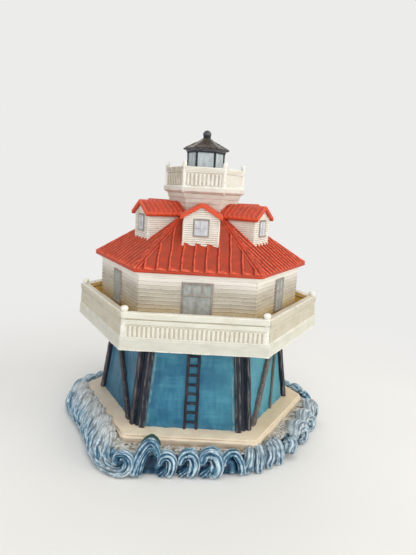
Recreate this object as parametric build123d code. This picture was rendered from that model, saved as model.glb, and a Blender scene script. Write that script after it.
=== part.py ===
from build123d import *
import os
from math import cos, floor, hypot, pi, radians, sin, tan

# Lighthouse figurine: a painted casting of a six-sided screw-pile lighthouse in a ring of breakers.
# Millimetres, +Z up.  The origin is the middle of the felt that it stands on.  The front face looks
# towards -Y, and every hexagon has two corners on the X axis.

# Fits
glue_gap = 0.15  # room for glue round each spigot, peg, insert and foot

# Felt and sea base
felt_radius = 88.0
felt_thickness = 1.2
felt_stand = 0.4  # how far the felt stands out below the base
base_across_flats = 178.0
base_corner_round = 38.0
base_flats = 48  # flats of its outline
base_wall_lean = 24.0  # degrees from upright
slab_seat = 11.0  # floor of the slab's pocket, above the ground
water_over_seat = 1.5  # still water beside the slab, above that floor

# Breakers: curling tongues of water set round the base
breaker_count = 36
breaker_foot_curl = 7.6  # radius of the curl at its foot
breaker_tip_curl = 3.4  # radius of the curl at its tip
breaker_eye_height = 10.2  # height of the curl's middle above the ground
breaker_depth = 6.0  # half the tongue's depth into the base, at the foot
breaker_thickness = 2.6  # half the tongue's thickness, at the foot
breaker_tip_share = 0.5  # depth and thickness left at the tip
breaker_variety = 0.07  # how much the curls differ in size
breaker_sections = 6
breaker_sides = 5  # carved flats round the tongue's section
breaker_start = -95.0  # degrees round the curl, from the level of its eye
breaker_sweep = 255.0
curled_breaker = 240.0  # where the large curl stands, in degrees about the axis
curled_breaker_size = 1.18
tall_breaker = 250.0  # where the tallest crest stands
tall_breaker_size = 1.34

# Slab
slab_radius = 86.5
slab_thickness = 7.0
slab_corner_round = 4.0
slab_lip_width = 0.9
slab_lip_height = 1.6

# Drum between the piles
core_bottom_radius = 72.0
core_top_radius = 63.0
core_height = 57.5
core_rim = 6.0  # rim left round the gallery's spigot
core_spigot_depth = 2.0
core_shoulder = 2.6

# Piles, braces and ladder
pile_radius = 2.3
pile_sides = 8
pile_from_corner = 4.0
pile_stand = 0.8  # pile axis in front of the drum's face
pile_socket_depth = 1.5
brace_width = 3.2
thin_brace_width = 2.0
brace_thickness = 1.8
brace_head = 7.0  # middle of the brace's upper end, from the middle of the face
thin_brace_head = 12.5
thin_brace_foot = -5.0
brace_corner_gap = 1.0
ladder_top_width = 7.0
ladder_bottom_width = 8.4
ladder_stile = 1.8
ladder_stile_depth = 2.4
ladder_rung = 1.4
ladder_rung_depth = 1.6
ladder_rungs = 9

# Main gallery
gallery_radius = 91.0  # at the foot of the skirt
gallery_lean = 3.6  # degrees that skirt and parapet lean in
deck_thickness = 8.5
deck_spigot_depth = 3.0
deck_curb_height = 2.0
parapet_height = 15.0
parapet_thickness = 4.2
parapet_board_pitch = 2.7
baluster_pitch = 3.45
baluster_width = 1.7
baluster_height = 7.0
baluster_relief = 0.9
strip_height = 3.4
strip_relief = 0.9
rail_groove = 0.6
cap_overhang = 0.5
newel_radius = 2.9
newel_sides = 8
newel_inset = 3.0
newel_height = 19.0
newel_peg_radius = 1.2
newel_peg_depth = 3.0

# Cottage
wall_radius = 74.2
wall_height = 37.0
wall_rim = 6.0  # rim left round the deck's curb and the roof's boss
board_pitch = 2.5
board_lap = 0.6
frieze_height = 3.2
frieze_relief = 0.3
front_window_width = 19.8
side_window_width = 13.4
window_height = 23.0
upper_sash_height = 7.4
window_thickness = 3.0
window_stand = 0.5  # frame in front of the boards
window_head_drop = 0.6  # window head below the frieze
window_bar = 1.5
pane_depth = 1.1
sill_height = 1.6
sill_stand = 1.0

# Main roof
eave_radius = 79.0
eave_edge = 2.6
roof_pitch = 34.8
roof_top_radius = 24.0
roof_boss_depth = 2.0
seam_pitch = 7.5
seam_width = 1.2
seam_height = 0.9
hip_radius = 1.4
hip_sides = 6

# Dormers
dormer_face = 48.0  # front of the dormer from the axis
dormer_width = 23.6
dormer_height = 17.6  # side wall above the roof, at the front
dormer_pitch = 31.0
dormer_board_pitch = 2.6
dormer_board_lap = 0.5
dormer_roof_thickness = 1.8
dormer_side_overhang = 1.4
dormer_front_overhang = 2.0
dormer_seam_pitch = 5.2
dormer_seam_width = 0.9
dormer_seam_height = 0.6
dormer_window_width = 10.4
dormer_window_height = 11.4
dormer_window_thickness = 2.0
dormer_window_drop = 0.3  # window head below the side walls' top
dormer_window_bar = 1.0
dormer_sill_stand = 0.7

# Watch room
watch_bottom_radius = 22.0
watch_top_radius = 27.3
watch_height = 14.0
watch_boards = 4
watch_board_lap = 0.35
watch_spigot_radius = 14.0
watch_spigot_depth = 6.0

# Lantern gallery
lantern_deck_radius = 29.8
lantern_deck_thickness = 4.8
lantern_deck_cove = 1.4
lantern_deck_spigot_radius = 13.0
lantern_deck_spigot_depth = 3.0
lantern_rail_inset = 0.8
lantern_rail_thickness = 2.4
lantern_rail_height = 12.2
lantern_rail_cove = 2.4
lantern_rail_cap = 3.4
lantern_baluster_pitch = 2.8
lantern_baluster_width = 1.2
lantern_baluster_relief = 0.6
lantern_baluster_height = 7.2
lantern_post_radius = 1.5
lantern_post_height = 16.8
lantern_horn_length = 2.6
lantern_horn_radius = 0.5

# Lantern
lantern_radius = 13.4
lantern_height = 24.6
lantern_band_height = 2.4
lantern_band_stand = 0.6
pane_width = 10.4
pane_margin = 0.8  # between a pane and the bands above and below it
pane_thickness = 1.0
pane_sink = 0.25  # pane behind the mullions
lantern_peg_radius = 6.0
lantern_peg_depth = 2.0
cap_radius = 16.6
cap_fascia = 1.6
cap_waist_radius = 9.0
cap_waist_height = 3.8
cap_neck_radius = 3.4
cap_height = 7.6
ball_radius = 3.4
ball_sink = 0.6  # ball cut flat where it sits on the cap
ball_peg_radius = 1.2
ball_peg_depth = 3.0

# Levels
cos30 = cos(radians(30))
tan30 = tan(radians(30))
slab_top = slab_seat + slab_thickness
water_level = slab_seat + water_over_seat
gallery_floor = slab_top + core_height
deck_top = gallery_floor + deck_thickness
wall_top = deck_top + wall_height
eave_top = wall_top + eave_edge
eave_apothem = eave_radius * cos30
roof_top_apothem = roof_top_radius * cos30
roof_slope = tan(radians(roof_pitch))
roof_top = eave_top + (eave_apothem - roof_top_apothem) * roof_slope
watch_top = roof_top + watch_height
lantern_floor = watch_top + lantern_deck_thickness
lantern_top = lantern_floor + lantern_height
cap_top = lantern_top + cap_fascia + cap_height
ball_centre = cap_top + ball_radius - ball_sink

# Large enough to cut across the whole piece
reach = 2 * (base_across_flats + ball_centre)

# Turn of each face and corner about the axis, in degrees from +X
FACES = {
    "front": 270,
    "front_right": 330,
    "back_right": 30,
    "back": 90,
    "back_left": 150,
    "front_left": 210,
}
CORNERS = {
    "front_right": 300,
    "right": 0,
    "back_right": 60,
    "back_left": 120,
    "left": 180,
    "front_left": 240,
}
LOW = (Align.CENTER, Align.CENTER, Align.MIN)


def turned(shape, angle):
    """The shape turned about the axis."""
    return Rot(0, 0, angle) * shape


def on_face(shape, face):
    """A piece modelled on the front face, turned to another face."""
    return turned(shape, FACES[face] - FACES["front"])


def ring(radius, level, sides=6):
    """Corners of a level polygon about the axis, the first on the X axis."""
    turns = [2 * pi * index / sides for index in range(sides)]
    return [Vector(radius * cos(turn), radius * sin(turn), level) for turn in turns]


def stacked(rings, twisted=False):
    """Closed solid of flat faces through rings of points; twisted sides are split into triangles."""
    faces = [Face(Wire.make_polygon(rings[0])), Face(Wire.make_polygon(rings[-1]))]
    for lower, upper in zip(rings, rings[1:]):
        for index, corner in enumerate(lower):
            after = (index + 1) % len(lower)
            if twisted:
                faces.append(Face(Wire.make_polygon([corner, lower[after], upper[after]])))
                faces.append(Face(Wire.make_polygon([corner, upper[after], upper[index]])))
            else:
                faces.append(Face(Wire.make_polygon([corner, lower[after], upper[after], upper[index]])))
    return Part() + Solid(Shell(faces))


def oblong(half_width, half_depth, level):
    """Corners of a level rectangle about the axis."""
    signs = ((1, 1), (-1, 1), (-1, -1), (1, -1))
    return [Vector(x * half_width, y * half_depth, level) for x, y in signs]


def hex_drum(low_radius, low, high_radius, high):
    """A straight or tapered six-sided solid between two heights."""
    return stacked([ring(low_radius, low), ring(high_radius, high)])


def between(low, high):
    """Everything between two heights."""
    return Pos(0, 0, low) * Box(reach, reach, high - low, align=LOW)


def front_sector(inset):
    """The sixth of the plan that lies behind the front face, drawn in by an inset on both sides."""
    apex = -inset / sin(radians(30))
    corners = [(0, apex), (-reach * tan30, apex - reach), (reach * tan30, apex - reach)]
    return extrude(Polygon(*corners), reach)


def leaning_plane(low_apothem, low, high_apothem, high):
    """Work plane on the front face: X along it, Y up it, Z outwards."""
    rise = high - low
    run = low_apothem - high_apothem
    slant = hypot(rise, run)
    return Plane(origin=(0, -low_apothem, low), x_dir=(1, 0, 0), z_dir=(0, -rise / slant, run / slant))


def rod(start, end, radius, sides):
    """A rod of many sides between two points, run on a little past both."""
    way = Vector(*end) - Vector(*start)
    spare = way.normalized() * (4 * radius)
    axis = Plane(origin=Vector(*start) - spare, x_dir=way.cross(Vector(0, 1, 0)), z_dir=way)
    return extrude(axis * RegularPolygon(radius, sides), way.length + 8 * radius)


def lapped_drum(low_radius, low, high_radius, high, count, lap):
    """Six-sided wall of lapped boards: each board stands out by the lap at its lower edge."""
    step = (high - low) / count
    wall = None
    for index in range(count):
        foot = low_radius + (high_radius - low_radius) * index / count
        head = low_radius + (high_radius - low_radius) * (index + 1) / count - lap / cos30
        board = hex_drum(foot, low + index * step, head, low + (index + 1) * step)
        wall = board if wall is None else wall + board
    return wall


def row(length, pitch):
    """Places along a line, evenly spread about its middle."""
    count = max(1, floor(length / pitch))
    return [(index - (count - 1) / 2) * pitch for index in range(count)]


# Sea base

def rim_place(turn, apothem):
    """Point of the base's rounded outline in a direction from the axis, and the way outwards there."""
    face = 60 * floor(turn / 60) + 30
    across = radians(turn - face)
    if abs(apothem * tan(across)) <= (apothem - base_corner_round) * tan30:
        return Vector(apothem / cos(across), 0).rotate(Axis.Z, turn), Vector(1, 0).rotate(Axis.Z, face)
    corner = 60 * round(turn / 60)
    aside = radians(turn - corner)
    pivot = (apothem - base_corner_round) / cos30
    far = pivot * cos(aside) + (base_corner_round**2 - (pivot * sin(aside)) ** 2) ** 0.5
    place = Vector(far, 0).rotate(Axis.Z, turn)
    return place, (place - Vector(pivot, 0).rotate(Axis.Z, corner)).normalized()


def rim(apothem, level):
    """The base's rounded outline in flats, at a height."""
    turns = [360 * index / base_flats for index in range(base_flats)]
    return [rim_place(turn, apothem)[0] + Vector(0, 0, level) for turn in turns]


def breaker(turn, size):
    """One curling tongue of water: a tapering section carried round a closing spiral."""
    place, outward = rim_place(turn, base_across_flats / 2)
    along = Vector(0, 0, 1).cross(outward)
    lean = tan(radians(base_wall_lean))

    def centre(share):
        round_curl = radians(breaker_start + breaker_sweep * share)
        curl = size * (breaker_foot_curl + (breaker_tip_curl - breaker_foot_curl) * share)
        height = size * breaker_eye_height + curl * sin(round_curl)
        return place + along * (curl * cos(round_curl)) - outward * (height * lean) + Vector(0, 0, height)

    def section(share):
        across = (centre(share + 0.01) - centre(share - 0.01)).cross(outward).normalized()
        left = size * (1 - (1 - breaker_tip_share) * share)
        turns = [2 * pi * index / breaker_sides for index in range(breaker_sides)]
        return [
            centre(share) + outward * (breaker_depth * left * cos(side))
            + across * (breaker_thickness * left * sin(side))
            for side in turns
        ]

    shares = [index / (breaker_sections - 1) for index in range(breaker_sections)]
    return stacked([section(share) for share in shares], twisted=True)


def breaker_size(turn):
    """Size of the breaker in a direction: even but for a large curl and a tall crest."""
    if turn == curled_breaker:
        return curled_breaker_size
    if turn == tall_breaker:
        return tall_breaker_size
    return 1 + breaker_variety * sin(radians(7 * turn) + 3 * sin(radians(2 * turn)))


def make_wave_base():
    apothem = base_across_flats / 2
    drawn_in = (water_level - felt_stand) * tan(radians(base_wall_lean))
    body = stacked([rim(apothem, felt_stand), rim(apothem - drawn_in, water_level)], twisted=True)
    turns = [360 * index / breaker_count for index in range(breaker_count)]
    body += [breaker(turn, breaker_size(turn)) for turn in turns]
    body -= make_slab_blank(glue_gap, reach)
    recess = felt_radius + glue_gap / cos30
    body -= hex_drum(recess, 0, recess, felt_thickness)
    return body & between(felt_stand, reach)


def make_felt():
    return hex_drum(felt_radius, 0, felt_radius, felt_thickness)


# Slab and drum

def make_slab_blank(gap, height):
    outline = fillet(RegularPolygon(slab_radius + gap / cos30, 6).vertices(), slab_corner_round)
    return extrude(Pos(0, 0, slab_seat) * outline, height)


def core_radius_at(level):
    """Corner radius of the drum at a height."""
    share = (level - slab_top) / core_height
    return core_bottom_radius + (core_top_radius - core_bottom_radius) * share


def make_pile(side, gap):
    """One pile of the pair at the corner on +X, cut level at both ends."""
    def foot_at(level):
        lean_in = Vector(-sin(radians(30)), side * cos30)
        outward = Vector(cos30, side * sin(radians(30)))
        corner = Vector(core_radius_at(level), 0, level)
        return corner + lean_in * pile_from_corner + outward * pile_stand

    pile = rod(foot_at(slab_top), foot_at(gallery_floor), pile_radius + gap, pile_sides)
    return pile & between(slab_top - pile_socket_depth, gallery_floor)


def every_pile(gap):
    return [turned(make_pile(side, gap), angle) for angle in CORNERS.values() for side in (-1, 1)]


def make_slab():
    slab = make_slab_blank(0, slab_thickness - slab_lip_height)
    upper = fillet(RegularPolygon(slab_radius - slab_lip_width / cos30, 6).vertices(), slab_corner_round)
    slab += extrude(Pos(0, 0, slab_top - slab_lip_height) * upper, slab_lip_height)
    socket_radius = core_bottom_radius + (glue_gap - core_shoulder) / cos30
    socket_floor = slab_top - core_spigot_depth - glue_gap
    slab -= hex_drum(socket_radius, socket_floor, socket_radius, slab_top)
    return slab - every_pile(glue_gap)


def make_core():
    core = hex_drum(core_bottom_radius, slab_top, core_top_radius, gallery_floor)
    spigot_radius = core_bottom_radius - core_shoulder / cos30
    core += hex_drum(spigot_radius, slab_top - core_spigot_depth, spigot_radius, slab_top)
    socket = core_top_radius - core_rim / cos30
    core -= hex_drum(socket, gallery_floor - deck_spigot_depth - glue_gap, socket, gallery_floor)
    return core - every_pile(glue_gap)


# Braces and ladder on the drum's faces

def core_face():
    return leaning_plane(core_bottom_radius * cos30, slab_top, core_top_radius * cos30, gallery_floor)


def slanted_bar(foot, head, width, depth):
    """A flat bar on the drum's front face, from the slab to the gallery."""
    slant = hypot(core_height, (core_bottom_radius - core_top_radius) * cos30)
    spare = depth
    drift = (head - foot) / slant * spare
    outline = Polygon(
        (foot - drift - width / 2, -spare),
        (foot - drift + width / 2, -spare),
        (head + drift + width / 2, slant + spare),
        (head + drift - width / 2, slant + spare),
    )
    bar = extrude(core_face() * outline, depth)
    return bar & between(slab_top, gallery_floor)


def make_brace(side, with_thin_bar):
    """Diagonal brace whose foot stands beside the corner nearer to the front."""
    kept = pile_from_corner + pile_radius + brace_corner_gap + brace_width / 2
    foot = -(core_bottom_radius / 2 - kept)
    bars = [slanted_bar(side * foot, side * brace_head, brace_width, brace_thickness)]
    if with_thin_bar:
        thin = slanted_bar(side * thin_brace_foot, side * thin_brace_head, thin_brace_width, brace_thickness)
        bars.append(thin)
    return bars


def make_ladder():
    low = (ladder_bottom_width - ladder_stile) / 2
    high = (ladder_top_width - ladder_stile) / 2
    ladder = slanted_bar(-low, -high, ladder_stile, ladder_stile_depth)
    ladder += slanted_bar(low, high, ladder_stile, ladder_stile_depth)
    slant = hypot(core_height, (core_bottom_radius - core_top_radius) * cos30)
    for index in range(ladder_rungs):
        share = (index + 0.6) / ladder_rungs
        length = 2 * (low + (high - low) * share)
        rung = core_face() * Pos(0, share * slant) * Rectangle(length, ladder_rung)
        ladder += extrude(rung, ladder_rung_depth)
    return ladder


# Main gallery

def gallery_radius_at(level):
    """Corner radius of the skirt and parapet at a height."""
    return gallery_radius - (level - gallery_floor) * tan(radians(gallery_lean)) / cos30


def make_newel(gap):
    """Corner post with a rounded head and a peg, at the corner on +X."""
    radius = newel_radius + gap
    shaft = newel_height - newel_radius
    rings = [ring(radius, 0, newel_sides)]
    for turn in (0, 30, 60):
        level = shaft + radius * sin(radians(turn))
        rings.append(ring(radius * cos(radians(turn)), level, newel_sides))
    post = stacked(rings)
    peg_depth = newel_peg_depth + gap
    post += extrude(Pos(0, 0, -peg_depth) * RegularPolygon(newel_peg_radius + gap, newel_sides), peg_depth)
    return Pos(gallery_radius_at(deck_top) - newel_inset, 0, deck_top) * post


def make_gallery_deck():
    deck = hex_drum(gallery_radius, gallery_floor, gallery_radius_at(deck_top), deck_top)
    spigot = core_top_radius - (core_rim + glue_gap) / cos30
    deck += hex_drum(spigot, gallery_floor - deck_spigot_depth, spigot, gallery_floor)
    curb = wall_radius - (wall_rim + board_lap + glue_gap) / cos30
    deck += hex_drum(curb, deck_top, curb, deck_top + deck_curb_height)
    return deck - [turned(make_newel(glue_gap), angle) for angle in CORNERS.values()]


def parapet_band(low, high, inner, outer):
    """A level block of the front parapet, from an inner to an outer distance before its face."""
    radius = gallery_radius_at(deck_top)
    top = deck_top + parapet_height
    face = leaning_plane(radius * cos30, deck_top, gallery_radius_at(top) * cos30, top)
    return face * Pos(0, (low + high) / 2, inner) * Box(radius, high - low, outer - inner, align=LOW)


def parapet_slant():
    return parapet_height / cos(radians(gallery_lean))


def cap_foot():
    return baluster_height + strip_height + 2 * rail_groove


def make_parapet_blank():
    """Plain panel under its cap."""
    panel = parapet_band(0, parapet_slant(), -parapet_thickness, -baluster_relief)
    return panel + parapet_band(cap_foot(), parapet_slant(), -parapet_thickness - cap_overhang, cap_overhang)


def trim_parapet(panel):
    """The panel cut to its face, clear of the newels."""
    panel &= front_sector(glue_gap / 2) & between(deck_top, deck_top + parapet_height)
    return panel - [turned(make_newel(glue_gap), CORNERS[name]) for name in ("front_left", "front_right")]


def make_baluster_parapet():
    """Front parapet panel: relief balusters under a strip and a cap."""
    strip_foot = baluster_height + rail_groove
    relief = strip_relief - baluster_relief
    panel = make_parapet_blank()
    panel += parapet_band(strip_foot, strip_foot + strip_height, -parapet_thickness, relief)
    radius = gallery_radius_at(deck_top)
    kept = 2 * (newel_inset + newel_radius)
    block = parapet_band(0, baluster_height, -2 * baluster_relief, 0)
    gaps = [
        Pos(place, 0, 0) * Box(baluster_pitch - baluster_width, reach, reach)
        for place in row(radius - kept, baluster_pitch)
    ]
    return trim_parapet(panel + (block - gaps))


def make_boarded_parapet():
    """Parapet panel of lapped boards under the same cap."""
    panel = make_parapet_blank()
    count = max(1, round(cap_foot() / parapet_board_pitch))
    step = cap_foot() / count
    for index in range(count):
        panel += parapet_band(index * step, (index + 1) * step - rail_groove, -parapet_thickness, 0)
    return trim_parapet(panel)


# Cottage

def wall_face():
    """Distance of the boards' outer edge from the axis."""
    return wall_radius * cos30


def window_foot():
    return wall_top - frieze_height - window_head_drop - window_height


def make_walls():
    boards_top = wall_top - frieze_height
    count = max(1, round((boards_top - deck_top) / board_pitch))
    walls = lapped_drum(wall_radius, deck_top, wall_radius, boards_top, count, board_lap)
    frieze = wall_radius + frieze_relief / cos30
    walls += hex_drum(frieze, boards_top, frieze, wall_top)
    socket = wall_radius - (wall_rim + board_lap) / cos30
    walls -= hex_drum(socket, deck_top, socket, deck_top + deck_curb_height + glue_gap)
    walls -= hex_drum(socket, wall_top - roof_boss_depth - glue_gap, socket, wall_top)
    height = window_height + 2 * glue_gap
    back = wall_face() + window_stand - window_thickness
    pockets = []
    for face in FACES:
        width = window_width(face) + 2 * glue_gap
        pocket = Pos(0, -back - height / 2, window_foot() - glue_gap) * Box(width, height, height, align=LOW)
        pockets.append(on_face(pocket, face))
    return walls - pockets


def lights(count, width, low, high, bar, front):
    """Sunken panes side by side in one sash of a window on the front face."""
    pane = (width - (count + 1) * bar) / count
    places = [(index - (count - 1) / 2) * (pane + bar) for index in range(count)]
    return [Pos(x, -front, low) * Box(pane, 2 * pane_depth, high - low, align=LOW) for x in places]


def window_width(face):
    return front_window_width if face == "front" else side_window_width


def make_window(face):
    """Window of two sashes: three lights over two in front, two over two elsewhere."""
    front = wall_face() + window_stand
    width = window_width(face)
    foot = window_foot()
    window = Pos(0, window_thickness / 2 - front, foot) * Box(width, window_thickness, window_height, align=LOW)
    head = foot + window_height
    upper_foot = head - window_bar - upper_sash_height
    upper_lights = 3 if face == "front" else 2
    window -= lights(upper_lights, width, upper_foot, head - window_bar, window_bar, front)
    window -= lights(2, width, foot + sill_height, upper_foot - window_bar, window_bar, front)
    sill = Pos(0, -front - sill_stand / 2, foot) * Box(width, sill_stand, sill_height, align=LOW)
    return on_face(window + sill, face)


# Main roof

def roof_face():
    return leaning_plane(eave_apothem, eave_top, roof_top_apothem, roof_top)


def make_roof_blank():
    """Roof without seams: soffit edge, six slopes and rolled hips."""
    blank = hex_drum(eave_radius, wall_top, eave_radius, eave_top)
    blank += hex_drum(eave_radius, eave_top, roof_top_radius, roof_top)
    hip = rod((eave_radius, 0, eave_top), (roof_top_radius, 0, roof_top), hip_radius, hip_sides)
    hip &= between(eave_top - hip_radius, roof_top) & hex_drum(eave_radius, wall_top, eave_radius, roof_top)
    return blank + [turned(hip, angle) for angle in CORNERS.values()]


def make_seams():
    """Standing seams of the front slope, stopped at the hips and round the dormer."""
    slant = hypot(roof_top - eave_top, eave_apothem - roof_top_apothem)
    seams = [
        roof_face() * Pos(place, slant / 2) * Box(seam_width, slant, seam_height, align=LOW)
        for place in row(eave_radius, seam_pitch)
    ]
    house_width = dormer_width + 2 * (dormer_board_lap + glue_gap)
    house_front = dormer_face + dormer_board_lap + glue_gap
    house = Pos(0, -house_front / 2, wall_top) * Box(house_width, house_front, reach, align=LOW)
    kept = front_sector(0) & between(eave_top, roof_top)
    return [(seam & kept) - house for seam in seams]


def make_main_roof(blank):
    seams = make_seams()
    roof = blank + [on_face(seam, face) for seam in seams for face in FACES]
    boss = wall_radius - (wall_rim + board_lap + glue_gap) / cos30
    roof += hex_drum(boss, wall_top - roof_boss_depth, boss, wall_top)
    socket = watch_spigot_radius + glue_gap / cos30
    return roof - hex_drum(socket, roof_top - watch_spigot_depth - glue_gap, socket, roof_top)


# Dormers, modelled on the front slope

dormer_foot = eave_top + (eave_apothem - dormer_face) * roof_slope
dormer_eave = dormer_foot + dormer_height
dormer_rise = tan(radians(dormer_pitch))
dormer_apex = dormer_eave + dormer_width / 2 * dormer_rise
dormer_window_foot = dormer_eave - dormer_window_drop - dormer_window_height


def gable(half_width, apex, low, front, back):
    """A gabled block between two distances from the axis, with its ridge towards the front."""
    outline = Polygon(
        (-half_width, low),
        (half_width, low),
        (half_width, apex - half_width * dormer_rise),
        (0, apex),
        (-half_width, apex - half_width * dormer_rise),
    )
    return extrude(Plane(origin=(0, -back, 0), x_dir=(1, 0, 0), z_dir=(0, -1, 0)) * outline, front - back)


def make_dormer(blank, watch):
    half = dormer_width / 2
    back = watch_bottom_radius * cos30
    house = gable(half, dormer_apex, wall_top, dormer_face, back)
    cover = gable(half + dormer_board_lap, dormer_apex, wall_top, dormer_face + dormer_board_lap, back)
    count = max(1, floor((dormer_apex - dormer_foot) / dormer_board_pitch))
    boards = []
    for index in range(count):
        low = dormer_foot + index * dormer_board_pitch
        foot = oblong(half + dormer_board_lap, dormer_face + dormer_board_lap, low)
        head = oblong(half, dormer_face, low + dormer_board_pitch)
        boards.append(stacked([foot, head]) & cover)
    house += boards
    width = dormer_window_width + 2 * glue_gap
    height = dormer_window_height + 2 * glue_gap
    pocket_back = dormer_face + dormer_board_lap - dormer_window_thickness
    pocket = Pos(0, -pocket_back - height / 2, dormer_window_foot - glue_gap)
    house -= pocket * Box(width, height, height, align=LOW)
    return (house & front_sector(glue_gap)) - blank - watch


def make_dormer_window():
    """Small window of two lights over two, with a sill."""
    front = dormer_face + dormer_board_lap
    width, height, bar = dormer_window_width, dormer_window_height, dormer_window_bar
    place = Pos(0, dormer_window_thickness / 2 - front, dormer_window_foot)
    window = place * Box(width, dormer_window_thickness, height, align=LOW)
    middle = dormer_window_foot + height / 2
    window -= lights(2, width, dormer_window_foot + bar, middle - bar / 2, bar, front)
    window -= lights(2, width, middle + bar / 2, dormer_window_foot + height - bar, bar, front)
    sill = Pos(0, -front - dormer_sill_stand / 2, dormer_window_foot)
    return window + sill * Box(width, dormer_sill_stand, bar, align=LOW)


def make_dormer_roof(blank, watch):
    half = dormer_width / 2 + dormer_board_lap + dormer_side_overhang
    front = dormer_face + dormer_board_lap + dormer_front_overhang
    back = watch_bottom_radius * cos30
    upright = dormer_roof_thickness / cos(radians(dormer_pitch))
    eave = dormer_apex - half * dormer_rise
    roof = gable(half, dormer_apex + upright, eave, front, back)
    seam_upright = upright + dormer_seam_height / cos(radians(dormer_pitch))
    seam = gable(half, dormer_apex + seam_upright, eave, dormer_seam_width, 0)
    length = front - back
    seams = [Pos(0, -(front + back) / 2 - place, 0) * seam for place in row(length, dormer_seam_pitch)]
    roof += seams
    roof -= gable(half + dormer_width, dormer_apex, wall_top, front + dormer_width, 0)
    return (roof & front_sector(glue_gap)) - blank - watch


# Watch room and lantern gallery

def make_watch_room():
    room = lapped_drum(
        watch_bottom_radius, roof_top, watch_top_radius, watch_top, watch_boards, watch_board_lap
    )
    room += hex_drum(watch_spigot_radius, roof_top - watch_spigot_depth, watch_spigot_radius, roof_top)
    socket = lantern_deck_spigot_radius + glue_gap / cos30
    return room - hex_drum(socket, watch_top - lantern_deck_spigot_depth - glue_gap, socket, watch_top)


def make_watch_clearance():
    """The watch room with glue room round it, without its spigot and socket."""
    gap = glue_gap / cos30
    return hex_drum(watch_bottom_radius + gap, roof_top, watch_top_radius + gap, watch_top)


def make_lantern_deck():
    cove = watch_top + lantern_deck_cove
    deck = hex_drum(watch_top_radius, watch_top, lantern_deck_radius, cove)
    deck += hex_drum(lantern_deck_radius, cove, lantern_deck_radius, lantern_floor)
    spigot = lantern_deck_spigot_radius
    deck += hex_drum(spigot, watch_top - lantern_deck_spigot_depth, spigot, watch_top)
    hole = lantern_peg_radius + glue_gap / cos30
    return deck - hex_drum(hole, lantern_floor - lantern_peg_depth - glue_gap, hole, lantern_floor)


def lantern_rail_radius():
    return lantern_deck_radius - lantern_rail_inset / cos30


def make_lantern_panel(with_balusters):
    """Front panel of the lantern rail: its top sweeps up to the posts in two coves."""
    radius = lantern_rail_radius()
    half = radius / 2
    top = lantern_rail_height
    cove = lantern_rail_cove
    edge = [
        RadiusArc((-half, top + cove), (-half + cove, top), -cove),
        Line((-half + cove, top), (half - cove, top)),
        RadiusArc((half - cove, top), (half, top + cove), -cove),
        Polyline((half, top + cove), (half, 0), (-half, 0), (-half, top + cove)),
    ]
    outline = make_face(edge)
    face = Plane(origin=(0, -radius * cos30, lantern_floor), x_dir=(1, 0, 0), z_dir=(0, -1, 0))
    back = face.offset(-lantern_rail_thickness)
    panel = extrude(back * outline, lantern_rail_thickness - lantern_baluster_relief)
    rail_low = top - lantern_rail_cap
    rail = outline - Pos(0, rail_low / 2) * Rectangle(2 * radius, rail_low)
    panel += extrude(back * rail, lantern_rail_thickness)
    if with_balusters:
        panel += [
            face * Pos(place, lantern_baluster_height / 2, -lantern_baluster_relief)
            * Box(lantern_baluster_width, lantern_baluster_height, lantern_baluster_relief, align=LOW)
            for place in row(radius - 4 * lantern_post_radius, lantern_baluster_pitch)
        ]
    return panel & front_sector(0)


def make_lantern_rail():
    """Rail of six panels and six horned corner posts; only the front panel has balusters."""
    rail = make_lantern_panel(True)
    plain = make_lantern_panel(False)
    rail += [on_face(plain, face) for face in FACES if face != "front"]
    shaft = lantern_post_height - lantern_horn_length
    horn = hex_drum(lantern_post_radius, shaft, lantern_horn_radius, lantern_post_height)
    post = hex_drum(lantern_post_radius, 0, lantern_post_radius, shaft) + horn
    post = Pos(lantern_rail_radius() - lantern_post_radius, 0, lantern_floor) * post
    return rail + [turned(post, angle) for angle in CORNERS.values()]


# Lantern

def make_lantern_frame():
    frame = hex_drum(lantern_radius, lantern_floor, lantern_radius, lantern_top)
    band = lantern_radius + lantern_band_stand / cos30
    frame += hex_drum(band, lantern_floor, band, lantern_floor + lantern_band_height)
    frame += hex_drum(band, lantern_top - lantern_band_height, band, lantern_top)
    width = pane_width + 2 * glue_gap
    height = pane_height() + 2 * glue_gap
    back = lantern_radius * cos30 - pane_sink - pane_thickness
    pocket = Pos(0, -back - width / 2, pane_foot() - glue_gap) * Box(width, width, height, align=LOW)
    frame -= [on_face(pocket, face) for face in FACES]
    low = lantern_floor - lantern_peg_depth
    high = lantern_top + lantern_peg_depth
    return frame + hex_drum(lantern_peg_radius, low, lantern_peg_radius, high)


def pane_foot():
    return lantern_floor + lantern_band_height + pane_margin


def pane_height():
    return lantern_height - 2 * (lantern_band_height + pane_margin)


def make_pane():
    front = lantern_radius * cos30 - pane_sink
    place = Pos(0, pane_thickness / 2 - front, pane_foot())
    return place * Box(pane_width, pane_thickness, pane_height(), align=LOW)


def make_lantern_roof():
    eave = lantern_top + cap_fascia
    cap = hex_drum(cap_radius, lantern_top, cap_radius, eave)
    cap += hex_drum(cap_radius, eave, cap_waist_radius, eave + cap_waist_height)
    cap += hex_drum(cap_waist_radius, eave + cap_waist_height, cap_neck_radius, cap_top)
    hole = lantern_peg_radius + glue_gap / cos30
    cap -= hex_drum(hole, lantern_top, hole, lantern_top + lantern_peg_depth + glue_gap)
    peg_hole = ball_peg_radius + glue_gap / cos30
    return cap - hex_drum(peg_hole, cap_top - ball_peg_depth - glue_gap, peg_hole, cap_top)


def make_ball():
    """Ball cut flat underneath, on a peg."""
    ball = (Pos(0, 0, ball_centre) * Sphere(ball_radius)) & between(cap_top, reach)
    return ball + hex_drum(ball_peg_radius, cap_top - ball_peg_depth, ball_peg_radius, cap_top)


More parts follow.
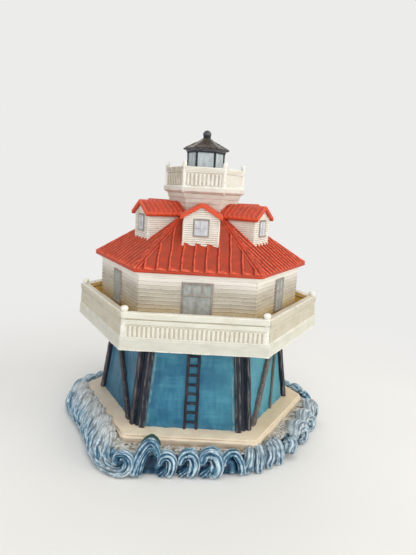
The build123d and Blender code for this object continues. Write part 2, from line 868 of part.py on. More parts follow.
def make_nodes():
    """Every piece under its name."""
    blank = make_roof_blank()
    watch = make_watch_clearance()
    dormer = make_dormer(blank, watch)
    dormer_roof = make_dormer_roof(blank, watch)
    boarded_parapet = make_boarded_parapet()
    nodes = {
        "base_felt": make_felt(),
        "wave_base": make_wave_base(),
        "shore_slab": make_slab(),
        "sea_core": make_core(),
        "ladder": make_ladder(),
        "gallery_deck": make_gallery_deck(),
        "cottage_walls": make_walls(),
        "main_roof": make_main_roof(blank),
        "watch_room": make_watch_room(),
        "lantern_deck": make_lantern_deck(),
        "lantern_rail": make_lantern_rail(),
        "lantern_frame": make_lantern_frame(),
        "lantern_roof": make_lantern_roof(),
        "finial_ball": make_ball(),
        "lantern_panes": [on_face(make_pane(), face) for face in FACES],
        "dormer_windows": [on_face(make_dormer_window(), face) for face in FACES],
    }
    for corner, angle in CORNERS.items():
        nodes["piles_" + corner] = [turned(make_pile(side, 0), angle) for side in (-1, 1)]
        nodes["newel_" + corner] = turned(make_newel(0), angle)
    for face in FACES:
        panel = make_baluster_parapet() if face == "front" else boarded_parapet
        nodes["parapet_" + face] = on_face(panel, face)
        nodes["window_" + face] = make_window(face)
        nodes["dormer_" + face] = on_face(dormer, face)
        nodes["dormer_roof_" + face] = on_face(dormer_roof, face)
    for face, side in {"front_right": 1, "back_right": 1, "back": 1, "back_left": -1, "front_left": -1}.items():
        bars = make_brace(side, face.endswith("right"))
        nodes["brace_" + face] = [on_face(bar, face) for bar in bars]
    return nodes


os.makedirs("parts", exist_ok=True)
for name, shape in make_nodes().items():
    if isinstance(shape, list):
        shape = Compound(children=shape)
    export_step(shape, "parts/" + name + ".step")
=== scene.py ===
import math

import bpy
import numpy as np
from mathutils import Matrix


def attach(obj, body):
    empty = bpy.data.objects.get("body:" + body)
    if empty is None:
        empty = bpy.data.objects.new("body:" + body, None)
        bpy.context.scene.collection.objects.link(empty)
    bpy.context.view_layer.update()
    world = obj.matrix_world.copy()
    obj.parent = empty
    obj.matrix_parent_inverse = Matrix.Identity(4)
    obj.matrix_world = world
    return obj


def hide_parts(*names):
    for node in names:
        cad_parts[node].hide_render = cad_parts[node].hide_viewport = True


# Looks of a hand-painted cast lighthouse figurine.  Shapes are worked out in millimetres in the frame
# of the castings: +Z up, the front towards -Y, two corners of every hexagon on the X axis.

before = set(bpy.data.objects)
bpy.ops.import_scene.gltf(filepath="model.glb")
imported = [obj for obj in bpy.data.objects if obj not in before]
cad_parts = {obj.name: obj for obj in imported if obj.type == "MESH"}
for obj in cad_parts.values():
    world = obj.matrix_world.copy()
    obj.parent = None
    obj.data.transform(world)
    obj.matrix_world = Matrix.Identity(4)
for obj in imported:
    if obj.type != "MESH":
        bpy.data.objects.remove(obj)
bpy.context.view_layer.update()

TAN30 = math.tan(math.radians(30))
COS30 = math.cos(math.radians(30))
FACES = {
    "front": 270, "front_right": 330, "back_right": 30, "back": 90, "back_left": 150, "front_left": 210,
}
CORNERS = {
    "front_right": 300, "right": 0, "back_right": 60, "back_left": 120, "left": 180, "front_left": 240,
}

# Levels and sizes of the castings

BASE_APOTHEM = 88.0
BASE_ROUNDING = 38.0
RIM_CLEAR = 0.45
CURL_CLEAR = 0.5
SLAB_TOP = 18.0
SLAB_ROUNDING = 4.0
DRUM_FOOT = 16.6
DRUM_FOOT_RADIUS = 72.0
DRUM_HEAD_RADIUS = 63.0
DRUM_ROUNDING = 0.4
PILE_HALF = 2.0
PILE_HEAD = 75.4
PILE_ASIDE = 4.0
PILE_PROUD = 0.8
BRACE_LOW = 17.4
BRACE_HIGH = 75.3
LADDER_FOOT = 17.0
LADDER_HALF = 3.9
LADDER_HEAD_HALF = 3.4
RUNGS = 9
DECK_FLOOR = 75.5
DECK_TOP = 84.0
DECK_ROUNDING = 0.6
GALLERY_LEAN = math.tan(math.radians(3.6))
PARAPET_APOTHEM = 78.27
PARAPET_HEIGHT = 14.9
BALUSTER_PITCH = 2.79
WALL_APOTHEM = 74.2 * COS30
WALL_TOP = 121.0
WALL_ROUNDING = 0.4
WINDOW_LEVELS = (94.2, 108.7, 116.7)
WINDOW_GRID = 0.22
WINDOW_SILL = 0.6
EAVE_TOP = 123.6
EAVE_APOTHEM = 79.0 * COS30
ROOF_ANGLE = math.radians(34.8)
ROOF_SLOPE = math.tan(ROOF_ANGLE)
ROOF_ROUNDING = 0.3
ROOF_TOP_APOTHEM = 24.0 * COS30
ROOF_TOP = EAVE_TOP + (EAVE_APOTHEM - ROOF_TOP_APOTHEM) * ROOF_SLOPE
DORMER_FACE = 48.0
DORMER_FOOT = EAVE_TOP + (EAVE_APOTHEM - DORMER_FACE) * ROOF_SLOPE
DORMER_EAVE = DORMER_FOOT + 17.6
DORMER_RISE = math.tan(math.radians(31.0))
DORMER_HALF = 11.8
DORMER_CORNER = 0.6
DORMER_APEX = DORMER_EAVE + DORMER_HALF * DORMER_RISE
DORMER_ROOF_HALF = 13.7
DORMER_WINDOW_FOOT = DORMER_EAVE - 11.7
WATCH_HEIGHT = 14.0
WATCH_TOP = ROOF_TOP + WATCH_HEIGHT
WATCH_FOOT_RADIUS = 22.0
WATCH_HEAD_RADIUS = 27.3
LANTERN_ROUNDING = 0.3
LANTERN_FLOOR = WATCH_TOP + 4.8
LANTERN_TOP = LANTERN_FLOOR + 24.6
RAIL_APOTHEM = 29.8 * COS30 - 0.8
PANE_APOTHEM = 11.2
PANE_ROUNDING = 0.2
MULLION_PLACE = 12.75
CAP_TOP = LANTERN_TOP + 9.2


# Shared shapes

def eased(value, low, high):
    """Share from 0 to 1 as a value passes from low to high, with level ends."""
    share = np.clip((value - low) / (high - low), 0.0, 1.0)
    return share * share * (3.0 - 2.0 * share)


def hump(value, middle, width):
    """A soft hump, one at its middle: the bell curve of the distance from it."""
    return np.exp(-(((value - middle) / width) ** 2))


def ripple(x, y, size, seed):
    """Hand-worked unevenness about -1 to 1: the sum of six sine waves about one size long, in seeded
    directions."""
    chance = np.random.default_rng(seed)
    total = 0.0
    for _ in range(6):
        way = chance.uniform(0, 2 * math.pi)
        wave = 2 * math.pi / (size * chance.uniform(0.7, 1.5))
        start = chance.uniform(0, 2 * math.pi)
        total = total + np.sin(wave * (x * math.cos(way) + y * math.sin(way)) + start)
    return total / 3.5


def lapped(height, pitch, lap, edge):
    """Lapped boards: each stands out by the lap just above its lower edge and dies away to its upper edge."""
    share = (height / pitch) % 1.0
    return lap * (1.0 - share) * eased(share, 0.0, edge)


def circle(count):
    """Even directions once round, without the first again."""
    return np.linspace(0, 2 * math.pi, count, endpoint=False)


def squared(angle, power):
    """Radius of a rounded square by direction: the higher the power, the sharper its corners."""
    return (np.abs(np.cos(angle)) ** power + np.abs(np.sin(angle)) ** power) ** (-1 / power)


def upright(values):
    """Values of a profile as a column, one to a row of the grid."""
    return np.asarray(values, float).reshape(-1, 1)


def stacked(*parts):
    """Points from their parts, each a number, a row, a column or a grid."""
    return np.stack(np.broadcast_arrays(*parts), -1)


def running_length(path):
    """Length along a path at each of its points."""
    return np.concatenate([[0.0], np.cumsum(np.linalg.norm(np.diff(path, axis=0), axis=1))])


def tilt_of(profile):
    """Upward angle of the surface at each point of a profile of apothems and levels."""
    return np.arctan2(-np.gradient(profile[:, 0]), np.gradient(profile[:, 1]))


def turned(points, degrees):
    """Points turned about the axis."""
    angle = math.radians(degrees)
    x, y, z = points[..., 0], points[..., 1], points[..., 2]
    return stacked(x * math.cos(angle) - y * math.sin(angle), x * math.sin(angle) + y * math.cos(angle), z)


def on_face(points, face):
    """Points of the front face, turned to another face."""
    return turned(points, FACES[face] - FACES["front"])


def hollow_of(points, steps, ring, loop):
    """How far each point lies under the mean of its neighbours some steps away, along the outward normal."""
    def neighbour(count, axis, closed):
        if closed:
            return np.roll(points, -count, axis)
        index = np.clip(np.arange(points.shape[axis]) + count, 0, points.shape[axis] - 1)
        return np.take(points, index, axis)

    above, below = neighbour(steps[0], 0, loop), neighbour(-steps[0], 0, loop)
    right, left = neighbour(steps[1], 1, ring), neighbour(-steps[1], 1, ring)
    normal = np.cross(right - left, above - below)
    normal /= np.linalg.norm(normal, axis=-1, keepdims=True) + 1e-9
    return (((above + below + right + left) / 4 - points) * normal).sum(-1)


class Skin:
    """Grids of points gathered into one mesh; every point carries its hollow in millimetres, a tint and,
    where strokes follow the shape, its place in the flow of the strokes."""

    def __init__(self):
        self.points, self.hollow, self.tint, self.flow = [], [], [], []
        self.quads, self.triangles = [], []
        self.count = 0

    def add(self, points, hollow, tint, flow=0.0):
        """Numbers of the points added, in the shape of their grid."""
        shape = points.shape[:-1]
        index = self.count + np.arange(int(np.prod(shape))).reshape(shape)
        self.points.append(points.reshape(-1, 3))
        self.hollow.append(np.broadcast_to(hollow, shape).ravel())
        self.tint.append(np.broadcast_to(tint, shape).ravel())
        self.flow.append(np.broadcast_to(flow, points.shape).reshape(-1, 3))
        self.count += index.size
        return index

    def grid(self, points, tint=0.0, ring=False, loop=False, steps=(1, 1), extra=0.0, flow=0.0):
        """Columns run to the right and rows upwards, seen from outside; ring and loop close them on
        themselves; extra is added to the hollow that the paint sees."""
        index = self.add(points, hollow_of(points, steps, ring, loop) + extra, tint, flow)
        wide = np.concatenate([index, index[:, :1]], 1) if ring else index
        full = np.concatenate([wide, wide[:1]], 0) if loop else wide
        corners = [full[:-1, :-1], full[:-1, 1:], full[1:, 1:], full[1:, :-1]]
        self.quads.append(np.stack(corners, -1).reshape(-1, 4))
        return index

    def close(self, rim, tint=0.0):
        """A fan from the middle of a closed line of points, which runs to the left round its outer side."""
        middle = self.add(np.concatenate(self.points)[rim].mean(0)[None], 0.0, tint)[0]
        self.triangles.append(np.stack([rim, np.roll(rim, -1), np.full_like(rim, middle)], -1))

    def tube(self, points, tint=0.0, ends=(0.0, 0.0), **finish):
        """A grid closed round itself, with a fan over its foot and its head, each with a tint of its own."""
        index = self.grid(points, tint, ring=True, **finish)
        self.close(index[0][::-1], ends[0])
        self.close(index[-1], ends[1])

    def plate(self, points, back, tint):
        """A relief panel: its front grid, sides that go straight back, and a closed back."""
        index = self.grid(points, tint)
        rim = np.concatenate([index[0, :-1], index[:-1, -1], index[-1, :0:-1], index[:0:-1, 0]])
        edge = np.concatenate(self.points)[rim]
        rear = self.add(edge + back, 0.0, np.concatenate(self.tint)[rim])
        self.quads.append(np.stack([rim, rear, np.roll(rear, -1), np.roll(rim, -1)], -1))
        self.close(rear[::-1])

    def make(self, name, node, slot, material):
        """The mesh object, in metres, riding on the one body in place of its casting."""
        points = np.concatenate(self.points) * 0.001
        quads = np.concatenate(self.quads)
        triangles = np.concatenate(self.triangles + [np.zeros((0, 3), int)])
        corners = np.concatenate([quads.ravel(), triangles.ravel()])
        starts = np.concatenate([4 * np.arange(len(quads)), 4 * len(quads) + 3 * np.arange(len(triangles))])
        mesh = bpy.data.meshes.new(name)
        mesh.vertices.add(len(points))
        mesh.vertices.foreach_set("co", points.astype(np.float32).ravel())
        mesh.loops.add(len(corners))
        mesh.loops.foreach_set("vertex_index", corners.astype(np.int32))
        mesh.polygons.add(len(starts))
        mesh.polygons.foreach_set("loop_start", starts.astype(np.int32))
        mesh.polygons.foreach_set("use_smooth", np.ones(len(starts), bool))
        mesh.update(calc_edges=True)
        for key, values in (("hollow", self.hollow), ("tint", self.tint)):
            carried = mesh.attributes.new(key, "FLOAT", "POINT")
            carried.data.foreach_set("value", np.concatenate(values).astype(np.float32))
        flow = np.concatenate(self.flow)
        if flow.any():
            carried = mesh.attributes.new("flow", "FLOAT_VECTOR", "POINT")
            carried.data.foreach_set("vector", flow.astype(np.float32).ravel())
        piece = bpy.data.objects.new(name, mesh)
        bpy.context.scene.collection.objects.link(piece)
        mesh.materials.append(material)
        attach(piece, "root")
        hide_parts(node)


def around(per_face, corner):
    """Columns round a hexagon, front face first: each has its face's turn, its share along it and its
    facing, which sweeps round in the columns of a corner."""
    turn, share, facing = [], [], []
    for face, (count, bend) in enumerate(zip(np.broadcast_to(per_face, 6), np.broadcast_to(corner, 6))):
        middle = math.radians(270 + 60 * face)
        sweep = np.arange(1, bend + 1) / (bend + 1)
        turn.append(np.full(count + bend, middle))
        share.append(np.concatenate([np.linspace(-1, 1, count), np.ones(bend)]))
        facing.append(np.concatenate([np.full(count, middle), middle + sweep * math.radians(60)]))
    return np.concatenate(turn), np.concatenate(share), np.concatenate(facing)


def is_face(columns, number):
    """Whether each column lies on a face, counted from the front one to the right."""
    return np.abs(columns[0] - math.radians(270 + 60 * number)) < 0.1


def along_face(columns, apothem, rounding):
    """Distance of each grid point from the middle of its face."""
    return columns[1] * TAN30 * (upright(apothem) - upright(rounding))


def six_sided(columns, profile, rounding, lift=0.0, tilt=0.0):
    """Points round a six-sided piece, a row to each apothem and level of the profile: an inner hexagon's edge
    moved out along each column's facing by the corner radius and the lift; a row's lift points up by its
    tilt."""
    turn, share, facing = columns
    apothem, level = profile
    inner = upright(apothem) - upright(rounding)
    out = upright(rounding) + lift * np.cos(upright(tilt))
    x = inner * (np.cos(turn) - share * TAN30 * np.sin(turn)) + out * np.cos(facing)
    y = inner * (np.sin(turn) + share * TAN30 * np.cos(turn)) + out * np.sin(facing)
    return stacked(x, y, upright(level) + lift * np.sin(upright(tilt)))


def traced(corners, spacing):
    """Points along a line of corners, no further apart than the spacing."""
    corners = np.asarray(corners, float)
    pieces = []
    for start, end in zip(corners, corners[1:]):
        count = max(1, math.ceil(np.linalg.norm(end - start) / spacing))
        pieces.append(start + (end - start) * upright(np.arange(count) / count))
    pieces.append(corners[-1:])
    return np.concatenate(pieces)


def carried_round(path, radius, across, section, ridges=0.0, count=1, phase=0.0):
    """A section carried along a path: at each path point an ellipse of the two radii, in the plane of the
    path's normal and a given cross direction, with ridges of a cosine round it that start at the phase."""
    way = np.gradient(path, axis=0)
    way /= np.linalg.norm(way, axis=1, keepdims=True)
    across = across - (across * way).sum(1, keepdims=True) * way
    across /= np.linalg.norm(across, axis=1, keepdims=True)
    side = np.cross(way, across)
    turn = circle(section)
    swell = 1.0 + ridges * np.cos(count * turn + upright(phase))
    wide = upright(radius[0]) * swell * np.cos(turn)
    thick = upright(radius[1]) * swell * np.sin(turn)
    return path[:, None, :] + wide[..., None] * across[:, None, :] + thick[..., None] * side[:, None, :]


def lathe(radius, level, centre, count):
    """A profile turned about an upright line."""
    angle = circle(count)
    x = centre[0] + upright(radius) * np.cos(angle)
    y = centre[1] + upright(radius) * np.sin(angle)
    return stacked(x, y, upright(level))


# Paints

def tone(red, green, blue):
    """Linear colour of a screen tone given from 0 to 255."""
    share = np.array([red, green, blue]) / 255.0
    linear = np.where(share <= 0.04045, share / 12.92, ((share + 0.055) / 1.055) ** 2.4)
    return (*[float(value) for value in linear], 1.0)


class Paint:
    """One hand-painted finish in shader nodes, on Object coordinates turned into millimetres: coats of colour
    laid one over another on a body colour."""

    def __init__(self, name, roughness, specular, body):
        self.material = bpy.data.materials.new(name)
        self.material.use_nodes = True
        self.tree = self.material.node_tree
        self.tree.nodes.clear()
        self.colour = body
        self.shader = self.add("ShaderNodeBsdfPrincipled")
        self.shader.inputs["Specular IOR Level"].default_value = specular
        self.shader.inputs["Roughness"].default_value = roughness
        self.output = self.add("ShaderNodeOutputMaterial")
        self.link(self.shader.outputs["BSDF"], self.output.inputs["Surface"])
        scaled = self.add("ShaderNodeMapping")
        scaled.inputs["Scale"].default_value = (1000.0, 1000.0, 1000.0)
        self.link(self.add("ShaderNodeTexCoord").outputs["Object"], scaled.inputs["Vector"])
        self.place = scaled.outputs["Vector"]

    def add(self, kind):
        return self.tree.nodes.new(kind)

    def link(self, source, target):
        self.tree.links.new(source, target)

    def put(self, target, value):
        """Links a socket, or sets a screen tone or a number."""
        if isinstance(value, bpy.types.NodeSocket):
            self.link(value, target)
        else:
            target.default_value = tone(*value) if isinstance(value, tuple) else value

    def noise(self, size, detail, stretch=(1.0, 1.0, 1.0), place=None):
        """Cloudy noise whose spots are about one size wide, drawn out by the stretch."""
        placed = self.add("ShaderNodeMapping")
        placed.inputs["Scale"].default_value = tuple(1.0 / (size * value) for value in stretch)
        self.link(place or self.place, placed.inputs["Vector"])
        cloud = self.add("ShaderNodeTexNoise")
        cloud.inputs["Scale"].default_value = 1.0
        cloud.inputs["Detail"].default_value = detail
        cloud.inputs["Roughness"].default_value = 0.55
        self.link(placed.outputs["Vector"], cloud.inputs["Vector"])
        return cloud.outputs["Fac"]

    def carried(self, name, output="Fac"):
        """A value that the mesh carries at its points."""
        node = self.add("ShaderNodeAttribute")
        node.attribute_name = name
        return node.outputs[output]

    def part(self, vector, axis):
        split = self.add("ShaderNodeSeparateXYZ")
        self.link(vector, split.inputs["Vector"])
        return split.outputs[axis]

    def height(self):
        """Height above the ground in millimetres."""
        return self.part(self.place, "Z")

    def across(self):
        """Distance to the right of the middle in millimetres."""
        return self.part(self.place, "X")

    def facing_up(self):
        return self.part(self.add("ShaderNodeNewGeometry").outputs["Normal"], "Z")

    def share(self, value, low, high, start=0.0, end=1.0):
        """Share from start to end as a value passes from low to high, with level ends."""
        node = self.add("ShaderNodeMapRange")
        node.interpolation_type = "SMOOTHSTEP"
        settings = {"Value": value, "From Min": low, "From Max": high, "To Min": start, "To Max": end}
        for name, setting in settings.items():
            self.put(node.inputs[name], setting)
        return node.outputs["Result"]

    def falling(self, value, low, high):
        """Share from 1 to 0 as a value passes from low to high."""
        return self.share(value, low, high, 1.0, 0.0)

    def spots(self, size, detail, low, high, stretch=(1.0, 1.0, 1.0), place=None):
        """Spots of noise: nothing where the noise is under low, one where it is over high."""
        return self.share(self.noise(size, detail, stretch, place), low, high)

    def work(self, kind, first, second):
        node = self.add("ShaderNodeMath")
        node.operation = kind
        self.put(node.inputs[0], first)
        self.put(node.inputs[1], second)
        return node.outputs["Value"]

    def times(self, first, second):
        return self.work("MULTIPLY", first, second)

    def both(self, first, second, part=0.5):
        """One value by its part and another by the rest."""
        return self.work("ADD", self.times(first, part), self.times(second, 1.0 - part))

    def hollows(self, low, high, spots):
        """Where a wash gathers: in hollows deeper than low, fully at high, broken up by spots."""
        return self.times(self.share(self.carried("hollow"), low, high), spots)

    def ridges(self, low, high, spots):
        """Where a dry brush catches: on ridges under high, fully at low, broken up by spots."""
        return self.times(self.falling(self.carried("hollow"), low, high), spots)

    def mix(self, share, first, second):
        node = self.add("ShaderNodeMix")
        node.data_type = "RGBA"
        self.put(node.inputs[0], share)
        self.put(node.inputs[6], first)
        self.put(node.inputs[7], second)
        return node.outputs[2]

    def coat(self, share, colour, strength=1.0):
        """Lays a colour over the paint so far, by a share and a strength."""
        if strength < 1.0:
            share = self.times(share, strength)
        self.colour = self.mix(share, self.colour, colour)

    def uneven(self, low, high, size):
        """Roughness that wanders between two values."""
        return self.work("ADD", low, self.times(high - low, self.noise(size, 4.0)))

    def finish(self, height, depth, roughness=None):
        """Links the colour, a bump whose full height is the depth in millimetres, and an uneven roughness."""
        self.link(self.colour, self.shader.inputs["Base Color"])
        bump = self.add("ShaderNodeBump")
        bump.inputs["Strength"].default_value = 0.8
        bump.inputs["Distance"].default_value = depth * 0.001
        self.link(height, bump.inputs["Height"])
        self.link(bump.outputs["Normal"], self.shader.inputs["Normal"])
        if roughness is not None:
            self.link(roughness, self.shader.inputs["Roughness"])
        return self.material


def cream_paint(name, body, shade, wash, light, hollow=(0.02, 0.16), ridge=(-0.14, -0.02), foot=None):
    """Cream paint: brushed patches of two tones, a thin brown-grey wash in the hollows, clean light ridges,
    the light tone all over where the tint is one, and ochre up to a foot's height and fading above it."""
    paint = Paint(name, 0.55, 0.32, body)
    paint.coat(paint.spots(7.0, 5.0, 0.38, 0.66, (2.2, 2.2, 0.7)), shade)
    paint.coat(paint.spots(23.0, 3.0, 0.52, 0.78), (205, 190, 146), 0.3)
    if foot:
        paint.coat(paint.falling(paint.height(), foot, foot + 9.0), (204, 178, 116), 0.6)
    paint.coat(paint.ridges(*ridge, paint.spots(2.0, 4.0, 0.3, 0.55)), light)
    paint.coat(paint.carried("tint"), light)
    paint.coat(paint.hollows(*hollow, paint.spots(4.5, 5.0, 0.2, 0.62)), wash)
    height = paint.both(paint.noise(0.55, 5.0), paint.noise(1.4, 3.0, (3.5, 3.5, 0.6)))
    return paint.finish(height, 0.16, paint.uneven(0.42, 0.66, 3.0))


def gallery_paint(name, body, shade, wash):
    """Cream skirt or parapet with a wash in its hollows and an ochre deck or inside: the tint chooses the
    ochre."""
    paint = Paint(name, 0.55, 0.32, body)
    patches = paint.spots(7.0, 5.0, 0.38, 0.66, (2.2, 2.2, 0.7))
    paint.coat(patches, shade)
    paint.coat(paint.spots(21.0, 3.0, 0.52, 0.78), (208, 198, 158), 0.3)
    paint.coat(paint.carried("tint"), paint.mix(patches, (246, 210, 122), (228, 190, 106)))
    paint.coat(paint.hollows(0.012, 0.13, paint.spots(4.5, 5.0, 0.15, 0.5)), wash)
    paint.coat(paint.ridges(-0.16, -0.02, paint.spots(2.0, 4.0, 0.3, 0.55)), (246, 244, 234))
    height = paint.both(paint.noise(0.55, 5.0), paint.noise(3.0, 3.0))
    return paint.finish(height, 0.16, paint.uneven(0.42, 0.66, 3.0))


def roof_paint():
    """Red roof paint: dull pans with brown wash beside the laps, bright orange-red dry-brushed edges,
    brighter where the tint is one and browner where it is minus one."""
    paint = Paint("roof_paint", 0.45, 0.25, (196, 64, 36))
    tint = paint.carried("tint")
    paint.coat(paint.spots(8.0, 5.0, 0.36, 0.66), (172, 60, 37))
    paint.coat(paint.spots(3.2, 4.0, 0.48, 0.7, (1.0, 1.0, 2.4)), (152, 70, 46), 0.6)
    brown = paint.times(paint.falling(tint, -1.0, 0.0), paint.spots(5.0, 5.0, 0.2, 0.55))
    paint.coat(brown, (146, 62, 38), 0.65)
    paint.coat(paint.hollows(0.01, 0.1, paint.spots(3.0, 4.0, 0.15, 0.5)), (136, 46, 30))
    paint.coat(paint.ridges(-0.12, -0.01, paint.spots(1.8, 4.0, 0.3, 0.58)), (230, 104, 72))
    paint.coat(paint.times(tint, paint.spots(4.0, 4.0, 0.2, 0.5)), (220, 84, 52))
    height = paint.both(paint.noise(0.5, 5.0), paint.noise(2.2, 3.0), 0.45)
    return paint.finish(height, 0.2, paint.uneven(0.34, 0.6, 2.6))


def sea_paint():
    """Sea paint: deep teal in the grooves and by the ground, blue backs, white strokes that follow the flow
    along the ridges, mottled grey, brown and moss where the tint is one, and dark green where it is minus
    one."""
    paint = Paint("sea_paint", 0.42, 0.28, (36, 84, 116))
    tint = paint.carried("tint")
    flow = paint.carried("flow", "Vector")
    inside = paint.share(tint, 0.0, 1.0)
    patches = paint.spots(2.8, 5.0, 0.36, 0.66, (3.0, 1.0, 1.0), flow)
    paint.coat(patches, (78, 128, 152))
    inner = paint.mix(patches, (172, 168, 158), (208, 207, 202))
    streaks = paint.times(paint.spots(1.6, 4.0, 0.5, 0.62, (6.0, 1.0, 1.0), flow), 0.75)
    inner = paint.mix(streaks, inner, (126, 114, 96))
    moss = paint.times(paint.spots(4.0, 5.0, 0.54, 0.68), 0.6)
    inner = paint.mix(moss, inner, (126, 112, 82))
    paint.coat(inside, inner)
    low = paint.times(paint.falling(paint.height(), 0.5, 7.0), paint.falling(tint, 0.1, 0.6))
    paint.coat(low, (30, 78, 110), 0.7)
    grooves = paint.mix(inside, (10, 40, 64), (98, 88, 68))
    paint.coat(paint.hollows(0.0, 0.17, paint.spots(3.2, 4.0, 0.08, 0.4)), grooves)
    strokes = paint.spots(0.85, 5.0, 0.38, 0.6, (5.0, 1.0, 1.0), flow)
    dabs = paint.spots(1.4, 4.0, 0.22, 0.52)
    foam = paint.mix(inside, (206, 224, 234), (216, 218, 220))
    paint.coat(paint.ridges(-0.17, 0.01, paint.times(strokes, dabs)), foam)
    paint.coat(paint.falling(tint, -1.0, -0.2), (38, 72, 68))
    height = paint.both(paint.noise(0.6, 5.0), paint.noise(2.0, 3.0))
    return paint.finish(height, 0.24, paint.uneven(0.3, 0.6, 2.4))


def sand_paint():
    """Sand paint: peach-tan brushed patches, pinkish light edges, greyer on the left as painted shade,
    yellower on the right as painted light, darker flanks as painted shade, less dark on the right, and
    brown where the slab meets the water."""
    paint = Paint("sand_paint", 0.55, 0.3, (250, 236, 210))
    # The right side is painted yellower, on the top and on the flanks: painted light.
    right = paint.share(paint.across(), 25.0, 60.0)
    paint.coat(paint.spots(12.0, 5.0, 0.36, 0.66), (238, 220, 192))
    paint.coat(paint.spots(17.0, 3.0, 0.48, 0.7), (236, 212, 196), 0.6)
    # Greyer towards the left: painted shade.
    paint.coat(paint.falling(paint.across(), -78.0, -42.0), (192, 178, 166), 0.75)
    paint.coat(paint.times(right, paint.share(paint.facing_up(), 0.2, 0.8)), (218, 190, 150), 0.6)
    # Flanks are darker as painted shade, less so and yellower on the right as painted light.
    flanks = paint.mix(right, (192, 174, 154), (226, 214, 186))
    paint.coat(paint.falling(paint.facing_up(), 0.2, 0.8), flanks, 0.8)
    paint.coat(paint.hollows(0.03, 0.25, paint.spots(4.0, 4.0, 0.25, 0.65)), (190, 160, 132), 0.7)
    paint.coat(paint.ridges(-0.2, -0.02, paint.spots(2.4, 4.0, 0.3, 0.6)), (228, 212, 190))
    by_water = paint.times(paint.falling(paint.height(), 12.4, 15.0), paint.spots(5.0, 4.0, 0.3, 0.6))
    paint.coat(by_water, (158, 136, 108), 0.8)
    height = paint.both(paint.noise(0.5, 5.0), paint.noise(3.0, 3.0))
    return paint.finish(height, 0.16, paint.uneven(0.45, 0.7, 3.0))


def drum_paint():
    """Teal-blue drum paint: upright and level brush strokes of three blues, paler at the right as painted
    light, deeper at the left as painted shade and deeper at the foot, near black between the piles and a
    pale line beside them; the tint says how near a pile is."""
    paint = Paint("drum_paint", 0.4, 0.3, (44, 114, 146))
    near = paint.carried("tint")
    paint.coat(paint.spots(3.0, 5.0, 0.34, 0.68, (1.0, 1.0, 5.0)), (74, 146, 170), 0.6)
    paint.coat(paint.spots(6.0, 4.0, 0.42, 0.7, (4.0, 4.0, 0.7)), (86, 158, 180), 0.5)
    paint.coat(paint.spots(16.0, 4.0, 0.4, 0.66), (32, 92, 128), 0.75)
    # Paler towards the right: painted light.  Deeper towards the left: painted shade.
    paint.coat(paint.share(paint.across(), 0.0, 60.0), (94, 174, 184), 0.6)
    paint.coat(paint.falling(paint.across(), -60.0, -15.0), (44, 88, 112), 0.55)
    low = paint.times(paint.falling(paint.height(), 17.0, 26.0), paint.spots(6.0, 4.0, 0.3, 0.6))
    paint.coat(low, (34, 88, 118), 0.6)
    line = paint.times(paint.share(near, 0.3, 0.42), paint.falling(near, 0.5, 0.62))
    broken = paint.spots(3.0, 4.0, 0.4, 0.6, (1.0, 1.0, 3.0))
    paint.coat(paint.times(line, broken), (150, 190, 192), 0.5)
    paint.coat(paint.share(near, 0.6, 0.75), (26, 38, 52))
    height = paint.both(paint.noise(0.7, 5.0, (1.0, 1.0, 4.0)), paint.noise(3.0, 3.0), 0.6)
    return paint.finish(height, 0.22, paint.uneven(0.28, 0.5, 4.0))


def pile_paint():
    """Blue-black pile paint with purple-brown and grey dry-brushing drawn along the posts; the tint pales
    it, as painted light on the braces."""
    paint = Paint("pile_paint", 0.5, 0.22, (34, 38, 50))
    drawn = paint.spots(1.1, 4.0, 0.4, 0.66, (1.0, 1.0, 12.0))
    paint.coat(paint.spots(1.6, 4.0, 0.46, 0.74, (1.0, 1.0, 14.0)), (68, 66, 76))
    paint.coat(paint.ridges(-0.3, -0.07, drawn), (112, 108, 110))
    paint.coat(paint.spots(9.0, 3.0, 0.52, 0.72), (84, 74, 74), 0.5)
    pale = paint.times(paint.carried("tint"), paint.work("ADD", 0.5, paint.times(drawn, 0.4)))
    paint.coat(pale, (138, 126, 116))
    height = paint.both(paint.noise(0.5, 5.0), paint.noise(0.9, 4.0, (1.0, 1.0, 6.0)), 0.4)
    return paint.finish(height, 0.25, paint.uneven(0.36, 0.62, 2.0))


def window_paint(name, glass, shade, line):
    """Window paint: warm grey bars, pale panes where the tint is one, and darker lines where they meet."""
    paint = Paint(name, 0.45, 0.4, (158, 152, 143))
    patches = paint.spots(2.4, 5.0, 0.36, 0.66, (1.0, 1.0, 1.6))
    paint.coat(patches, (140, 134, 127))
    paint.coat(paint.carried("tint"), paint.mix(patches, glass, shade))
    paint.coat(paint.hollows(0.02, 0.16, paint.spots(1.6, 4.0, 0.2, 0.6)), line)
    paint.coat(paint.ridges(-0.16, -0.03, paint.spots(1.2, 4.0, 0.34, 0.62)), (186, 181, 170), 0.6)
    return paint.finish(paint.noise(0.6, 5.0), 0.14, paint.uneven(0.32, 0.56, 2.0))


def lantern_roof_paint():
    """Dark brown-black paint: tan dry-brushing where the tint is one, on the roof, and mottled blue-grey
    where it is nothing, on the band under the eave and on the ball, as a painted gleam."""
    paint = Paint("lantern_roof_paint", 0.45, 0.22, (34, 29, 26))
    tint = paint.carried("tint")
    paint.coat(paint.spots(2.6, 5.0, 0.36, 0.66), (57, 47, 38))
    paint.coat(paint.times(paint.spots(0.9, 5.0, 0.5, 0.7), tint), (132, 102, 70), 0.65)
    paint.coat(paint.ridges(-0.25, -0.05, paint.spots(1.0, 4.0, 0.4, 0.66)), (150, 106, 70))
    # Mottled blue-grey on the band under the eave and on the ball: a painted gleam.
    mottled = paint.times(paint.falling(tint, 0.0, 0.6), paint.spots(1.5, 4.0, 0.34, 0.56))
    paint.coat(mottled, (112, 113, 120), 0.85)
    paint.coat(paint.share(paint.carried("hollow"), 0.03, 0.25), (26, 24, 26))
    return paint.finish(paint.noise(0.5, 5.0), 0.25, paint.uneven(0.26, 0.5, 1.6))


